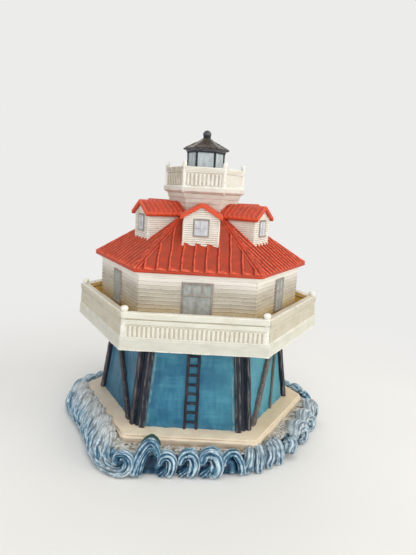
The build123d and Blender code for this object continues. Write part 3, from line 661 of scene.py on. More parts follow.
def lantern_frame_paint():
    """Near-black frame paint with small grey specks."""
    paint = Paint("lantern_frame_paint", 0.45, 0.25, (34, 36, 42))
    paint.coat(paint.spots(0.8, 4.0, 0.56, 0.7), (104, 108, 116))
    return paint.finish(paint.noise(0.5, 5.0), 0.2, paint.uneven(0.34, 0.56, 1.4))


def lantern_pane_paint():
    """Pale blue-grey pane paint, streaked downwards and greyer near the gallery as painted shade."""
    paint = Paint("lantern_pane_paint", 0.28, 0.5, (198, 208, 212))
    paint.coat(paint.spots(2.2, 4.0, 0.36, 0.68, (1.0, 1.0, 3.5)), (172, 182, 184))
    # Greyer below the rail's head: painted shade.
    paint.coat(paint.falling(paint.height(), 186.0, 194.0), (150, 158, 166), 0.5)
    return paint.finish(paint.noise(1.2, 4.0), 0.1, paint.uneven(0.2, 0.4, 2.0))


def felt_cloth():
    """Dark green felt: matted fibres."""
    paint = Paint("felt_cloth", 0.95, 0.1, (28, 50, 40))
    paint.coat(paint.spots(0.5, 6.0, 0.36, 0.64, (2.6, 1.0, 1.0)), (44, 70, 56))
    return paint.finish(paint.noise(0.35, 6.0), 0.3)


CREAM = cream_paint(
    "cream_paint", (231, 230, 220), (219, 215, 202), (176, 164, 144), (246, 245, 238), (0.035, 0.2))
# The boards' near-white light tone, laid where the tint is one near the eave, also paints light into the
# eave's shadow.
BOARDS = cream_paint(
    "board_paint", (190, 183, 167), (170, 161, 144), (157, 147, 128), (249, 247, 239), (0.02, 0.19),
    foot=95.0)
DORMERS = cream_paint(
    "dormer_paint", (236, 234, 224), (224, 219, 206), (172, 160, 142), (250, 248, 240), (0.01, 0.08),
    (-0.08, -0.01))
GALLERY = gallery_paint("gallery_paint", (217, 217, 205), (208, 206, 193), (150, 132, 104))
# The side parapets take a darker copy of the front parapet's paint: painted shade.
SHADED_PARAPET = gallery_paint("shaded_parapet_paint", (206, 200, 182), (196, 189, 170), (140, 122, 94))
FRONT_PARAPET = gallery_paint("front_parapet_paint", (228, 227, 214), (218, 216, 202), (182, 170, 144))
ROOF = roof_paint()
SEA = sea_paint()
SAND = sand_paint()
DRUM = drum_paint()
PILES = pile_paint()
WINDOWS = window_paint("window_paint", (174, 178, 174), (156, 160, 158), (104, 98, 96))
GABLE_WINDOWS = window_paint("gable_window_paint", (218, 219, 224), (190, 193, 201), (134, 130, 128))
LANTERN_ROOF = lantern_roof_paint()
LANTERN_FRAME = lantern_frame_paint()
LANTERN_PANES = lantern_pane_paint()
FELT = felt_cloth()


# Sea base

# How far the sculpted rim stands out of an even outline, by direction in degrees
REACH = np.array([
    (180, 0.0), (205, -2.0), (222, -1.5), (236, 2.4), (246, 3.2), (254, 0.0), (264, -1.6), (280, -2.8),
    (294, -6.2), (304, -6.2), (318, -2.0), (330, 0.0),
])

# Distance of the rim's wall out of the outline, by height
WALL = np.array([(0.0, 0.6), (2.4, 1.2), (6.5, 0.8), (10.4, -0.6), (13.4, -2.4), (22.0, -5.0)])

# Lines of the breakers: distance along the outline, height, and distance out of the wall
CRESCENT = np.array([
    (0.4, 0.8, 1.0), (3.4, 3.8, 1.4), (4.5, 7.6, 1.5), (3.4, 11.0, 0.8), (0.3, 12.4, 0.2), (-2.7, 11.2, 0.4),
    (-3.7, 8.8, 1.0), (-2.8, 7.0, 1.4),
])
CRESCENT_INSIDE = np.array([
    (-4.2, 0.8, 0.6), (-2.8, 2.2, 1.2), (-1.0, 3.8, 1.7), (0.8, 5.8, 1.8), (1.6, 7.8, 1.4),
])
ARCH = np.array([
    (5.4, 1.0, 0.8), (6.0, 5.0, 1.2), (5.0, 9.4, 1.0), (2.0, 13.0, 0.4), (-2.0, 13.2, 0.3), (-5.2, 10.6, 0.6),
    (-6.0, 6.4, 0.9),
])
ROLL = np.array([
    (-0.8, 0.8, 0.6), (-1.0, 4.5, 1.0), (0.0, 8.6, 0.9), (0.9, 11.6, -0.4), (1.4, 13.0, -2.8),
    (1.2, 12.4, -5.6),
])
DRAPE = np.array([
    (-5.0, 14.0, -9.6), (-3.6, 16.4, -6.0), (-1.2, 14.8, -2.0), (2.5, 9.6, 0.4), (8.0, 4.8, 0.9),
    (15.0, 1.8, 0.8),
])
SPIRAL = np.array([
    (-34, 11, 0.2), (-24, 6.2, 0.6), (-13, 2.8, 0.9), (-5, 2.0, 1.0), (2.2, 3.4, 1.0), (5.2, 7.6, 1.0),
    (4.3, 11.4, 1.0), (0.4, 13.2, 0.6), (-3.4, 11.8, 0.8), (-4.0, 9.0, 1.4), (-2.0, 7.8, 1.6),
])
SPIRAL_INSIDE = np.array([
    (-30, 13.0, 0.0), (-20, 8.8, 0.6), (-10, 5.2, 1.2), (-3.4, 4.4, 1.8), (1.2, 5.8, 2.0), (2.6, 8.6, 1.8),
    (1.4, 10.6, 1.6), (-1.0, 10.8, 1.6),
])
SPIRAL_TAIL = np.array([
    (-26, 15.0, -0.4), (-17, 11.4, 0.4), (-9.5, 8.0, 0.8), (-5.0, 6.8, 1.0), (-2.2, 7.4, 1.0),
])
HOOK = np.array([
    (-6.6, 0.8, 1.0), (-5.4, 6.5, 0.9), (-3.4, 13.0, 0.8), (-0.4, 18.0, 0.6), (2.8, 19.8, 0.6),
    (5.8, 17.4, 1.2), (7.4, 13.8, 2.0), (7.2, 11.6, 2.4),
])
HOOK_INSIDE = np.array([
    (-3.2, 0.8, 2.0), (-2.4, 6.5, 2.1), (-0.8, 12.0, 2.2), (1.4, 15.4, 2.0), (4.0, 16.2, 1.8),
    (5.6, 14.2, 2.2), (5.8, 12.4, 2.4),
])
HOOK_CAP = np.array([
    (-3.0, 16.6, -1.0), (-0.4, 19.8, -1.2), (3.0, 21.4, -1.2), (6.0, 19.6, -0.8), (7.8, 16.8, 0.0),
])
BALL = np.array([(-2.4, 3.4, 0.6), (-1.2, 6.2, 1.2), (0.2, 8.6, 1.6), (1.2, 10.4, 1.2), (2.0, 11.6, 0.4)])

# First and last tint of a breaker in plain blue
PLAIN = (0.0, 0.0)


def reach(angle):
    """Straight runs between the listed values, by direction."""
    return np.interp(angle, REACH[:, 0], REACH[:, 1])


def wave_lines():
    """Every breaker: its direction, its line, three radii, first and last tint, and whether its mesh is
    fine.  Those in front and on the left follow the photograph, and those behind are even."""
    lines = [
        (246.0, SPIRAL, (2.6, 2.5, 1.4), (0.4, 0.0), True),
        (246.0, SPIRAL_INSIDE, (2.0, 1.7, 0.9), (0.6, 0.0), True),
        (246.0, SPIRAL_TAIL, (2.2, 1.8, 0.8), (0.75, 0.3), True),
        (253.6, HOOK, (2.6, 2.4, 1.5), PLAIN, True),
        (253.6, HOOK_INSIDE, (2.0, 1.8, 1.0), PLAIN, True),
        (253.6, HOOK_CAP, (1.5, 1.8, 1.1), (-1.0, -1.0), True),
        (288.4, ARCH, (2.0, 2.5, 1.8), PLAIN, True),
        (318.2, BALL, (4.2, 5.4, 4.2), (0.3, 0.3), True),
    ]
    crescents = (
        (261.2, 0.86, (3.0, 3.4, 1.7)), (269.8, 0.98, (3.3, 3.7, 1.9)), (279.0, 1.1, (3.9, 4.4, 2.3)),
    )
    for degrees, size, radii in crescents:
        inside = CRESCENT_INSIDE * (size, size ** 0.5, 0.8)
        lines.append((degrees, CRESCENT * (size, 1.04 * size ** 0.5, 0.6), radii, PLAIN, True))
        lines.append((degrees, inside, (2.2 * size, 2.0 * size, 1.0), PLAIN, True))
    lobes = ((329.6, 1.35, 5.3, 1.0), (342.2, 1.25, 5.2, 2.2), (355.2, 1.3, 5.0, 2.2))
    for degrees, size, radius, back in lobes:
        lobe = CRESCENT * (size, 1.0, 0.4) - (0.0, 0.0, back)
        lines.append((degrees, lobe, (0.9 * radius, radius, 0.62 * radius), (0.3, 0.45), True))
    for degrees, radius, size in ((295.2, 3.3, 1.5), (300.0, 4.3, 1.1), (305.8, 3.7, 1.7), (310.8, 4.5, 1.2)):
        roll = ROLL * (size, 1.03 - 0.03 * radius, 0.6) - (0.0, 0.0, 0.9 + 0.3 * (radius - 3.0))
        lines.append((degrees, roll, (0.85 * radius, radius, 0.7 * radius), (0.2, 0.4), True))
    for number, degrees in enumerate(np.arange(7.4, 184.0, 7.2)):
        size = 1.04 + 0.12 * math.sin(2.3 * number)
        even = CRESCENT * (size, size, 0.4) if number % 4 else ROLL * (1.6, 1.04, 0.4)
        radii = (3.2 * size, 3.5 * size, 2.0)
        lines.append((degrees + 0.9 * math.sin(4.1 * number), even - (0.0, 0.0, 1.2), radii, PLAIN, False))
    for number, degrees in enumerate(np.arange(183.5, 238.0, 4.1)):
        size = 1.0 + 0.22 * math.sin(2.7 * number)
        fall = DRAPE * (1.3 - 0.35 * size, 0.9 + 0.1 * size, 1.0)
        radii = (2.4 * size, 3.3 * size, 1.5)
        lines.append((degrees + 0.8 * math.sin(4.4 * number), fall, radii, (0.74, 0.0), False))
    return lines


def rim_outline(columns):
    """The base's outline: its points, their directions in degrees, and the running length at each, with the
    whole length last."""
    line = six_sided(columns, (BASE_APOTHEM, 0.0), BASE_ROUNDING)[0]
    angle = np.degrees(np.arctan2(line[:, 1], line[:, 0])) % 360
    return line, angle, running_length(np.concatenate([line, line[:1]]))


def rim_profile():
    """Section of the sea base's rim from the ground up the wall, over the shoulder and in to the slab, a
    traced line smoothed over five points; and its running length up from the ground."""
    corners = [
        (84.0, 0.5), (88.2, 0.5), (88.8, 2.4), (88.4, 5.4), (87.2, 8.2), (85.2, 10.4), (82.6, 11.6),
        (80.0, 12.0), (77.6, 12.2), (75.4, 12.5), (74.4, 12.4), (74.2, 9.0),
    ]
    line = traced(corners, 0.58)
    kernel = np.array([1.0, 2.0, 3.0, 2.0, 1.0]) / 9.0
    padded = np.concatenate([line[:1].repeat(2, 0), line, line[-1:].repeat(2, 0)])
    line = np.stack([np.convolve(padded[:, axis], kernel, "valid") for axis in (0, 1)], 1)
    return line, upright(running_length(line) - 4.6)


def make_waves():
    """Sea base.  A rolled rim is carried round the base's outline, higher on the left, with uneven swells
    down its wall and fine combed lines beside the slab, and shifted out or in by its reach."""
    columns = around([76, 68, 36, 36, 36, 68], [44, 32, 24, 24, 32, 44])
    profile, climb = rim_profile()
    angle, run = rim_outline(columns)[1:]
    run = run[None, :-1]
    shore = 1.0 - eased(climb, climb.max() - 3.6, climb.max() - 2.4)
    inner = eased(climb, 9.5, 13.5)
    on_left = eased(angle, 186.0, 200.0) * (1.0 - eased(angle, 236.0, 250.0))
    swell = 0.7 * ripple(run, climb, 16.0, 3) + 0.25 * ripple(run, climb, 5.0, 7)
    combed = 0.22 * np.sin(2 * math.pi * run / 1.9 + 2.4 * ripple(run, climb, 11.0, 23))
    combed = combed * np.where(angle < 180.0, 1.0, eased(angle, 290.0, 302.0))
    combed = combed + 0.4 * ripple(run, climb, 9.0, 29) + 0.16 * ripple(run, climb, 3.4, 31)
    lift = swell * (1.0 - inner) * eased(climb, -2.0, 1.0) + combed * inner * shore
    lift = lift + 2.4 * on_left * eased(climb, 8.0, 14.0) * shore
    points = six_sided(columns, profile.T, BASE_ROUNDING, lift, tilt_of(profile))
    points[..., 2] = np.maximum(points[..., 2], RIM_CLEAR)
    shift = reach(angle) * (1.0 - eased(climb, 9.0, 16.0))
    points[..., 0] += shift * np.cos(np.radians(angle))
    points[..., 1] += shift * np.sin(np.radians(angle))
    skin = Skin()
    skin.tube(points, inner, (0.0, 1.0), steps=(2, 2), extra=0.16 * (1.0 - inner), flow=points)
    return skin


def through(places, count):
    """A smooth line through a few given places: cubic pieces, the slope at each place half the step
    between its neighbours."""
    places = np.asarray(places, float)
    ends = np.concatenate([[2 * places[0] - places[1]], places, [2 * places[-1] - places[-2]]])
    where = np.linspace(0.0, len(places) - 1.0, count)
    first = np.minimum(where.astype(int), len(places) - 2)
    share = upright(where - first)
    a, b, c, d = (ends[first + step] for step in range(4))
    square, cube = (2 * a - 5 * b + 4 * c - d) * share ** 2, (3 * b - a - 3 * c + d) * share ** 3
    return 0.5 * (2 * b + (c - a) * share + square + cube)


def on_rim(degrees, places):
    """Places beside the rim, set out along the outline from a direction, up, and out from the wall, then
    shifted as the rim is; and the outward direction at each."""
    columns = around(60, 40)
    line, angle, run = rim_outline(columns)
    order = np.argsort(angle)
    where = (np.interp(degrees, angle[order], run[:-1][order]) + places[:, 0]) % run[-1]
    x, y = (np.interp(where, run, np.append(line[:, axis], line[0, axis])) for axis in (0, 1))
    facing = np.interp(where, run, np.append(columns[2], columns[2][0] + 2 * math.pi))
    outward = stacked(np.cos(facing), np.sin(facing), 0.0)
    wall = np.interp(places[:, 1], WALL[:, 0], WALL[:, 1])
    turn = np.arctan2(y, x)
    shift = stacked(np.cos(turn), np.sin(turn), 0.0) * upright(reach(np.degrees(turn) % 360))
    return stacked(x, y, places[:, 1]) + outward * upright(wall + places[:, 2]) + shift, outward


def add_curls(skin):
    """Breakers: ridged tubes carried along smooth lines beside the rim; each tube's radius runs through its
    three values, first, middle and last, and its ends are blunt.  The flow runs along each tube and round it
    with its ridges."""
    for number, (degrees, places, (first, middle, last), tints, fine) in enumerate(wave_lines()):
        pale = tints[0] > 0.5
        count, section = (44, 32) if fine else (42, 28) if pale else (28, 20)
        ridges, strands = (0.055, 6) if pale else (0.045, 8) if tints[0] > 0.1 else (0.065, 6 + number % 3)
        share = np.linspace(0.0, 1.0, count)
        path, outward = on_rim(degrees, through(places, count))
        radius = first * (1.0 - share) * (1.0 - 2.0 * share) + middle * 4.0 * share * (1.0 - share)
        radius = radius + last * share * (2.0 * share - 1.0)
        blunt = 1.0 - np.abs(2.0 * share - 1.0) ** (5 if first > 4.0 else 12)
        rough = 1.0 + 0.06 * ripple(share * 40.0, 0.0, 9.0, 33 + number)
        radius = radius * np.sqrt(np.clip(blunt, 0.02, 1.0)) * rough
        phase = number + 2.5 * share + 0.8 * ripple(share * 40.0, 0.0, 16.0, 93 + number)
        points = carried_round(path, (radius * 1.12, radius), outward, section, ridges, strands, phase)
        points[..., 2] = np.maximum(points[..., 2], CURL_CLEAR)
        tint = upright(tints[0] + (tints[1] - tints[0]) * eased(share, 0.2, 0.78))
        turn = circle(section) + upright(phase) / strands
        along = upright(running_length(path) + 90.0 * number)
        flow = stacked(along, upright(radius) * np.cos(turn), upright(radius) * np.sin(turn))
        steps, extra = (2, 2) if section > 20 else (2, 1), 0.04 if pale else 0.1
        skin.tube(points, tint, tints, steps=steps, extra=extra, flow=flow)


def build_sea():
    """The rim with its breakers, as one piece."""
    skin = make_waves()
    add_curls(skin)
    skin.make("sea_waves", "wave_base", "sea_paint", SEA)


def build_slab():
    """Six-sided slab: an edge profile with a stepped lip carried round the hexagon, rubbed uneven."""
    columns = around(70, 8)
    profile = traced([
        (74.7, 11.2), (74.8, 15.9), (74.5, 16.35), (73.9, 16.5), (73.75, 17.5), (73.3, 17.95),
        (70.0, SLAB_TOP), (50.0, SLAB_TOP),
    ], 0.55)
    place = along_face(columns, profile[:, 0], SLAB_ROUNDING) + 90 * columns[0]
    lift = 0.16 * ripple(place, upright(profile[:, 1]) * 3.0, 13.0, 31)
    skin = Skin()
    skin.tube(six_sided(columns, profile.T, SLAB_ROUNDING, lift, tilt_of(profile)), steps=(2, 1))
    skin.make("slab_edge", "shore_slab", "sand_paint", SAND)


# Drum, piles, braces and ladder

def drum_radius(level):
    """Corner radius of the drum, which tapers straight from the slab to the gallery."""
    taper = DRUM_HEAD_RADIUS - DRUM_FOOT_RADIUS
    return DRUM_FOOT_RADIUS + taper * (level - SLAB_TOP) / (DECK_FLOOR - SLAB_TOP)


def build_drum():
    """Six-sided tapering drum, brushed uneven, a little wider at its foot; the tint rises from nothing to one
    towards its corners."""
    columns = around(60, 2)
    level = np.linspace(DRUM_FOOT, DECK_FLOOR, 60)
    apothem = COS30 * drum_radius(level)
    place = along_face(columns, apothem, DRUM_ROUNDING)
    lift = 0.22 * ripple(place + 90 * columns[0], upright(level) * 0.35, 6.0, 35) - 0.2
    lift = lift + 0.5 * upright(1.0 - eased(level, SLAB_TOP, SLAB_TOP + 2.4))
    near = 1.0 - eased(upright(apothem) * TAN30 - np.abs(place), 1.0, 12.5)
    skin = Skin()
    skin.tube(six_sided(columns, (apothem, level), DRUM_ROUNDING, lift), near, steps=(2, 1))
    skin.make("drum_wall", "sea_core", "drum_paint", DRUM)


def build_piles():
    """Two piles at each corner of the drum, each a rounded square section carried straight up it and knocked
    about a little."""
    turn = circle(32)
    level = np.linspace(DRUM_FOOT, PILE_HEAD, 60)
    out = drum_radius(level) - PILE_ASIDE * 0.5 + PILE_PROUD * COS30
    for number, (corner, angle) in enumerate(CORNERS.items()):
        skin = Skin()
        rough = 1.0 + 0.05 * ripple(upright(level), turn * 4.0, 8.0, 60 + number)
        radius = PILE_HALF * rough * squared(turn, 5)
        for side in (-1, 1):
            wobble = 0.18 * ripple(level, 0.0, 17.0, 40 + 2 * number + side)
            aside = side * (PILE_ASIDE * COS30 + PILE_PROUD * 0.5) + wobble
            x = upright(out) + radius * np.cos(turn + side * math.radians(30))
            y = upright(aside) + radius * np.sin(turn + side * math.radians(30))
            skin.tube(turned(stacked(x, y, upright(level)), angle), steps=(1, 3))
        skin.make("posts_" + corner, "piles_" + corner, "pile_paint", PILES)


def plank(skin, face, low, high, wide, thick, proud, seed, tint=0.0):
    """A rod of rounded square section laid on one face of the drum, between two places given as distance from
    the middle of the face and height; wide and thick are its half sizes and proud its middle's distance off
    the face."""
    level = np.linspace(low[1], high[1], 50)
    place = np.linspace(low[0], high[0], 50) + 0.12 * ripple(level, 0.0, 13.0, seed)
    out = COS30 * drum_radius(level) + proud
    turn = circle(28)
    radius = (1.0 + 0.06 * ripple(upright(level), turn * 4.0, 7.0, seed + 1)) * squared(turn, 4)
    x = upright(place) + wide * radius * np.cos(turn)
    y = upright(-out) + thick * radius * np.sin(turn)
    skin.tube(on_face(stacked(x, y, upright(level)), face), tint, (tint, tint), steps=(1, 2))


def build_braces():
    """A broad brace on every side of the drum but the front slants down to the foot of the nearer front
    pile, with a thin bar beside it on the right-hand sides; the right-hand ones are paler, as painted light."""
    for number, face in enumerate(("front_right", "back_right", "back", "back_left", "front_left")):
        way = -1.0 if face.endswith("left") else 1.0
        right = face.endswith("right")
        # Braces on the right-hand faces are painted much paler than those on the left: painted light.
        pale = 0.75 if right else 0.1
        seed = 240 + 4 * number
        skin = Skin()
        foot, head = (-25.0 * way, BRACE_LOW), (22.5 * way, BRACE_HIGH)
        plank(skin, face, foot, head, 2.6, 1.7, 0.9, seed, pale)
        if right:
            foot, head = (5.5 * way, BRACE_LOW), (27.0 * way, BRACE_HIGH)
            plank(skin, face, foot, head, 1.2, 1.0, 0.5, seed + 2, pale)
        skin.make("slant_" + face, "brace_" + face, "pile_paint", PILES)


def build_ladder():
    """Two upright rails and nine rungs laid on the front of the drum."""
    skin = Skin()
    for side, seed in ((-1.0, 260), (1.0, 262)):
        foot, head = (side * LADDER_HALF, LADDER_FOOT), (side * LADDER_HEAD_HALF, BRACE_HIGH)
        plank(skin, "front", foot, head, 0.95, 0.9, 0.6, seed)
    along = np.linspace(-LADDER_HALF, LADDER_HALF, 12)
    for number, level in enumerate(np.linspace(22.5, 72.0, RUNGS)):
        out = COS30 * drum_radius(level) + 0.55
        path = stacked(along, -out, level + 0.12 * ripple(along, 0.0, 5.0, 264 + number))
        skin.tube(carried_round(path, (0.85, 0.7), np.array([0.0, 0.0, 1.0]), 14))
    skin.make("ladder_rails", "ladder", "pile_paint", PILES)


# Gallery

def build_gallery_deck():
    """Six-sided deck: underside, leaning skirt with corner beads and a groove near its head, and ochre
    floor, as one profile carried round."""
    columns = around(80, 3)
    top = 78.81 - (DECK_TOP - DECK_FLOOR) * GALLERY_LEAN
    profile = traced([
        (54.0, DECK_FLOOR), (78.2, DECK_FLOOR), (78.7, 75.8), (78.7, 76.3), (top + 0.02, 83.6),
        (top - 0.3, DECK_TOP), (56.0, DECK_TOP),
    ], 0.5)
    level = upright(profile[:, 1])
    place = along_face(columns, profile[:, 0], DECK_ROUNDING) + 70 * columns[0]
    outer = upright(eased(profile[:, 0], 77.0, 78.0))
    bead = 0.12 * eased(np.abs(columns[1]), 0.95, 0.985)
    groove = 0.35 * hump(level, 83.4, 0.35)
    lift = 0.14 * ripple(place, level * 2.0, 15.0, 71) + (bead - groove) * outer
    tint = 1.0 - np.maximum(outer, eased(-level, -82.0, -78.0))
    points = six_sided(columns, profile.T, DECK_ROUNDING, lift, tilt_of(profile))
    skin = Skin()
    skin.tube(points, tint, (0.0, 1.0), steps=(2, 1))
    skin.make("gallery_skirt", "gallery_deck", "gallery_paint", GALLERY)


def parapet_relief(face, place, up):
    """How far the parapet's outer face stands out: balusters, strip and cap in front; boards under a cap
    elsewhere."""
    cap = eased(up, 11.35, 11.65) * 1.4
    if face == "front":
        share = (place / BALUSTER_PITCH + 0.5) % 1.0 - 0.5
        bars = 0.8 * (1.0 - eased(np.abs(share), 0.18, 0.38)) * (1.0 - eased(up, 6.4, 6.9))
        bars = bars * eased(up, 0.1, 0.5) * (1.0 - eased(np.abs(place), 43.4, 43.9))
        strip = 0.95 * eased(up, 7.6, 8.0) * (1.0 - eased(up, 10.4, 10.8))
        foot = 0.9 * (1.0 - eased(up, 0.0, 0.35))
        return np.maximum(np.maximum(bars, strip), np.maximum(cap, foot)) - 0.9
    boards = lapped(up + 0.1 * ripple(place, up, 24.0, 77), 2.32, 0.5, 0.16) + 0.4
    return np.maximum(boards * (1.0 - eased(up, 11.2, 11.4)), cap) - 0.9


def build_parapets():
    """Each parapet is a closed section carried along its face between mitres: relief up its outer side, cap,
    plain inside in ochre; it leans in and sways a little along its head."""
    up = upright(np.linspace(0.0, PARAPET_HEIGHT, 100))
    inside = traced([(-0.8, 15.05), (-3.8, 15.0), (-4.5, 14.7), (-4.6, 11.8), (-4.1, 11.3), (-4.1, 0.0)], 0.6)
    rise = np.concatenate([up, upright(inside[:, 1])])
    apothem = PARAPET_APOTHEM - rise * GALLERY_LEAN + np.concatenate([0.0 * up, upright(inside[:, 0])])
    tint = np.concatenate([0.0 * up, upright(eased(-inside[:, 1], -14.6, -14.1))])
    crown = 0.35 * eased(up, 14.4, PARAPET_HEIGHT)
    for number, face in enumerate(FACES):
        share = np.linspace(-0.985, 0.985, 420 if face == "front" else 90)
        place = share * TAN30 * apothem
        sway = 0.16 * ripple(place, 0.0, 30.0, 90 + number) * eased(rise, 8.0, 14.0)
        outer = place[:len(up)]
        lift = np.zeros_like(place)
        lift[:len(up)] = parapet_relief(face, outer, up) - crown + 0.1 * ripple(outer, up, 14.0, 80 + number)
        points = stacked(place, -(apothem + lift), DECK_TOP + rise + sway)
        skin = Skin()
        index = skin.grid(on_face(points, face), tint, loop=True, steps=(2, 2))
        skin.close(index[:, 0])
        skin.close(index[::-1, -1])
        # The front parapet gets the plain paint and the side parapets the darker copy with painted shade.
        paint = FRONT_PARAPET if face == "front" else SHADED_PARAPET
        skin.make("rail_" + face, "parapet_" + face, "cream_paint", paint)


def build_newels():
    """Each newel is a turned post that leans with the parapets: a shaft, a small collar and a ball top."""
    profile = traced([
        (2.0, -7.6), (2.2, -7.0), (2.2, 0.0), (2.1, 13.4), (2.4, 14.2), (2.4, 14.8), (1.7, 15.3), (2.1, 16.0),
        (2.3, 16.9), (2.1, 17.8), (1.4, 18.4), (0.4, 18.6),
    ], 0.5)
    rise = upright(profile[:, 1])
    out = (PARAPET_APOTHEM - rise * GALLERY_LEAN) / COS30 - 3.0
    turn = circle(28)
    for number, (corner, angle) in enumerate(CORNERS.items()):
        rough = 1.0 + 0.04 * ripple(np.arange(28) * 1.3, rise, 6.0, 100 + number)
        radius = upright(profile[:, 0]) * rough
        points = stacked(out + radius * np.cos(turn), radius * np.sin(turn), DECK_TOP + rise)
        skin = Skin()
        skin.tube(turned(points, angle), steps=(1, 2))
        skin.make("post_" + corner, "newel_" + corner, "cream_paint", CREAM)


# Cottage

def build_cottage():
    """Six-sided wall of lapped boards under a narrow plain strip; the board lines waver a little, and the
    tint
    fades from the eave downwards: pale paint that also paints light into the shadow under the eave."""
    columns = around(80, 3)
    level = upright(np.linspace(DECK_TOP, WALL_TOP + 1.1, 175))
    place = along_face(columns, WALL_APOTHEM, WALL_ROUNDING) + 80 * columns[0]
    rise = level - DECK_TOP + 0.14 * ripple(place, level * 0.3, 26.0, 110)
    frieze = eased(level, 119.3, 119.7)
    lift = (lapped(rise, 2.46, 0.55, 0.17) - 0.55) * (1.0 - frieze) + 0.4 * frieze
    lift = lift + 0.1 * ripple(place, level, 12.0, 111)
    # Paler paint towards the eave, which also paints light into the eave's shadow.
    pale = eased(level, 106.0, 120.0) ** 1.6
    skin = Skin()
    skin.tube(six_sided(columns, (WALL_APOTHEM, level), WALL_ROUNDING, lift), pale, steps=(2, 1))
    skin.make("cottage_boards", "cottage_walls", "cream_paint", BOARDS)


def sunk(x, z, left, right, low, high):
    """Share from 0 to 1 inside a rectangle, eased over one step of the grid on both sides of its edge."""
    edge = WINDOW_GRID
    wide = eased(x, left - edge, left + edge) * (1.0 - eased(x, right - edge, right + edge))
    return wide * eased(z, low - edge, low + edge) * (1.0 - eased(z, high - edge, high + edge))


def window_panes(x, z, width, levels, upper, bar):
    """Share from 0 to 1 inside the panes: a row of lights over the transom and two tall lights under it."""
    low, transom, high = levels
    found = np.zeros(np.broadcast(x, z).shape)
    for count, foot, head in ((upper, transom + bar / 2, high - bar), (2, low + bar, transom - bar / 2)):
        pane = (width - (count + 1) * bar) / count
        for number in range(count):
            left = -width / 2 + bar + number * (pane + bar)
            found = np.maximum(found, sunk(x, z, left, left + pane, foot, head))
    return found


def relief_window(skin, face, width, levels, front, upper, bar, sink, thick, pale):
    """Relief panel on one face, between a foot, a transom and a head: bars stand round sunk panes, the inner
    ones tinted a pale share towards the panes, and a sill stands out along the foot."""
    low, high = levels[0], levels[2]
    x = np.linspace(-width / 2, width / 2, max(24, int(width / WINDOW_GRID)))
    z = upright(np.linspace(low, high, int((high - low) / WINDOW_GRID)))
    panes = window_panes(x, z, width, levels, upper, bar)
    border = np.minimum(np.minimum(x + width / 2, width / 2 - x), np.minimum(z - low, high - z))
    lift = -sink * panes - 0.35 * (1.0 - eased(border, 0.0, 0.45)) + 0.07 * ripple(x, z, 4.0, 120)
    lift = lift + WINDOW_SILL * (1.0 - eased(z, low + 1.1, low + 1.5)) * eased(border, 0.0, 0.3)
    inner_bars = sunk(x, z, bar - width / 2, width / 2 - bar, low + bar, high - bar)
    points = on_face(stacked(x, -(front + lift), z), face)
    skin.plate(points, on_face(np.array([0.0, thick, 0.0]), face), np.maximum(panes, pale * inner_bars))


def build_windows():
    """Windows of the cottage: three lights over two in front, two over two elsewhere."""
    for face in FACES:
        width, upper = (19.8, 3) if face == "front" else (13.4, 2)
        skin = Skin()
        relief_window(
            skin, face, width, WINDOW_LEVELS, WALL_APOTHEM + 0.95, upper,
            bar=1.5, sink=0.6, thick=2.8, pale=0.3)
        skin.make("sashes_" + face, "window_" + face, "window_paint", WINDOWS)


# Roofs

def lap_of_pans(place, height):
    """Roof pans, one to each whole step of the place: each stands highest at its left lap, in a rounded roll,
    and falls away to the next lap."""
    share = place % 1.0
    slope = (1.0 - eased(share, 0.16, 1.05)) * eased(share, 0.0, 0.12)
    return height * (0.66 * slope + 0.34 * hump(share, 0.14, 0.08))


def build_main_roof():
    """Six-sided roof: soffit, eave edge, slopes and top as one profile; lapped pans and rolled hips lift the
    slopes.  The tint is brown in the middle of each pan and a little bright along the eave edge."""
    columns = around([230, 210, 110, 110, 110, 210], 5)
    edge = traced(
        [(60.0, 121.9), (67.7, 121.9), (68.2, 122.1), (68.42, 122.5), (68.42, 123.2), (68.1, 123.8)], 0.45)
    slope = traced([(68.0, 123.9), (ROOF_TOP_APOTHEM, ROOF_TOP)], 1.1)
    profile = np.concatenate([edge, slope, [(12.0, ROOF_TOP)]])
    on_slope = upright(np.repeat([0.0, 1.0, 0.0], [len(edge), len(slope), 1]))
    apothem, level = upright(profile[:, 0]), upright(profile[:, 1])
    place = along_face(columns, apothem, ROOF_ROUNDING)
    wander = place + 0.35 * ripple(apothem, 90 * columns[0], 18.0, 130)
    front = is_face(columns, 0)
    along = np.where(front, (wander + 3.75) / 7.5, (wander + 2.5) / 5.2)
    pans = lap_of_pans(along, np.where(front, 1.7, 1.5))
    from_hip = apothem * TAN30 - np.abs(place)
    near_hip = 1.0 - eased(from_hip, 1.6, 3.0)
    hips = 1.1 * hump(from_hip, 0.0, 1.2) + 0.8 * hump(from_hip, 2.2, 0.6)
    rough = 0.1 * ripple(place + 80 * columns[0], apothem, 6.0, 131)
    lift = (pans * (1.0 - near_hip) + hips + rough + 0.12 * hump(apothem, 67.0, 0.8)) * on_slope
    bright = eased(level, 122.3, 123.0) * (1.0 - eased(level, 123.9, 124.5))
    brown = (1.0 - eased(along % 1.0, 0.5, 1.0)) * eased(along % 1.0, 0.2, 0.4) * (1.0 - near_hip)
    brown = brown * on_slope * (1.0 - eased(apothem, 64.5, 67.0))
    points = six_sided(columns, profile.T, ROOF_ROUNDING, lift, on_slope * (math.pi / 2 - ROOF_ANGLE))
    skin = Skin()
    skin.tube(points, 0.12 * bright - brown, steps=(1, 2))
    skin.make("roof_pans", "main_roof", "roof_paint", ROOF)


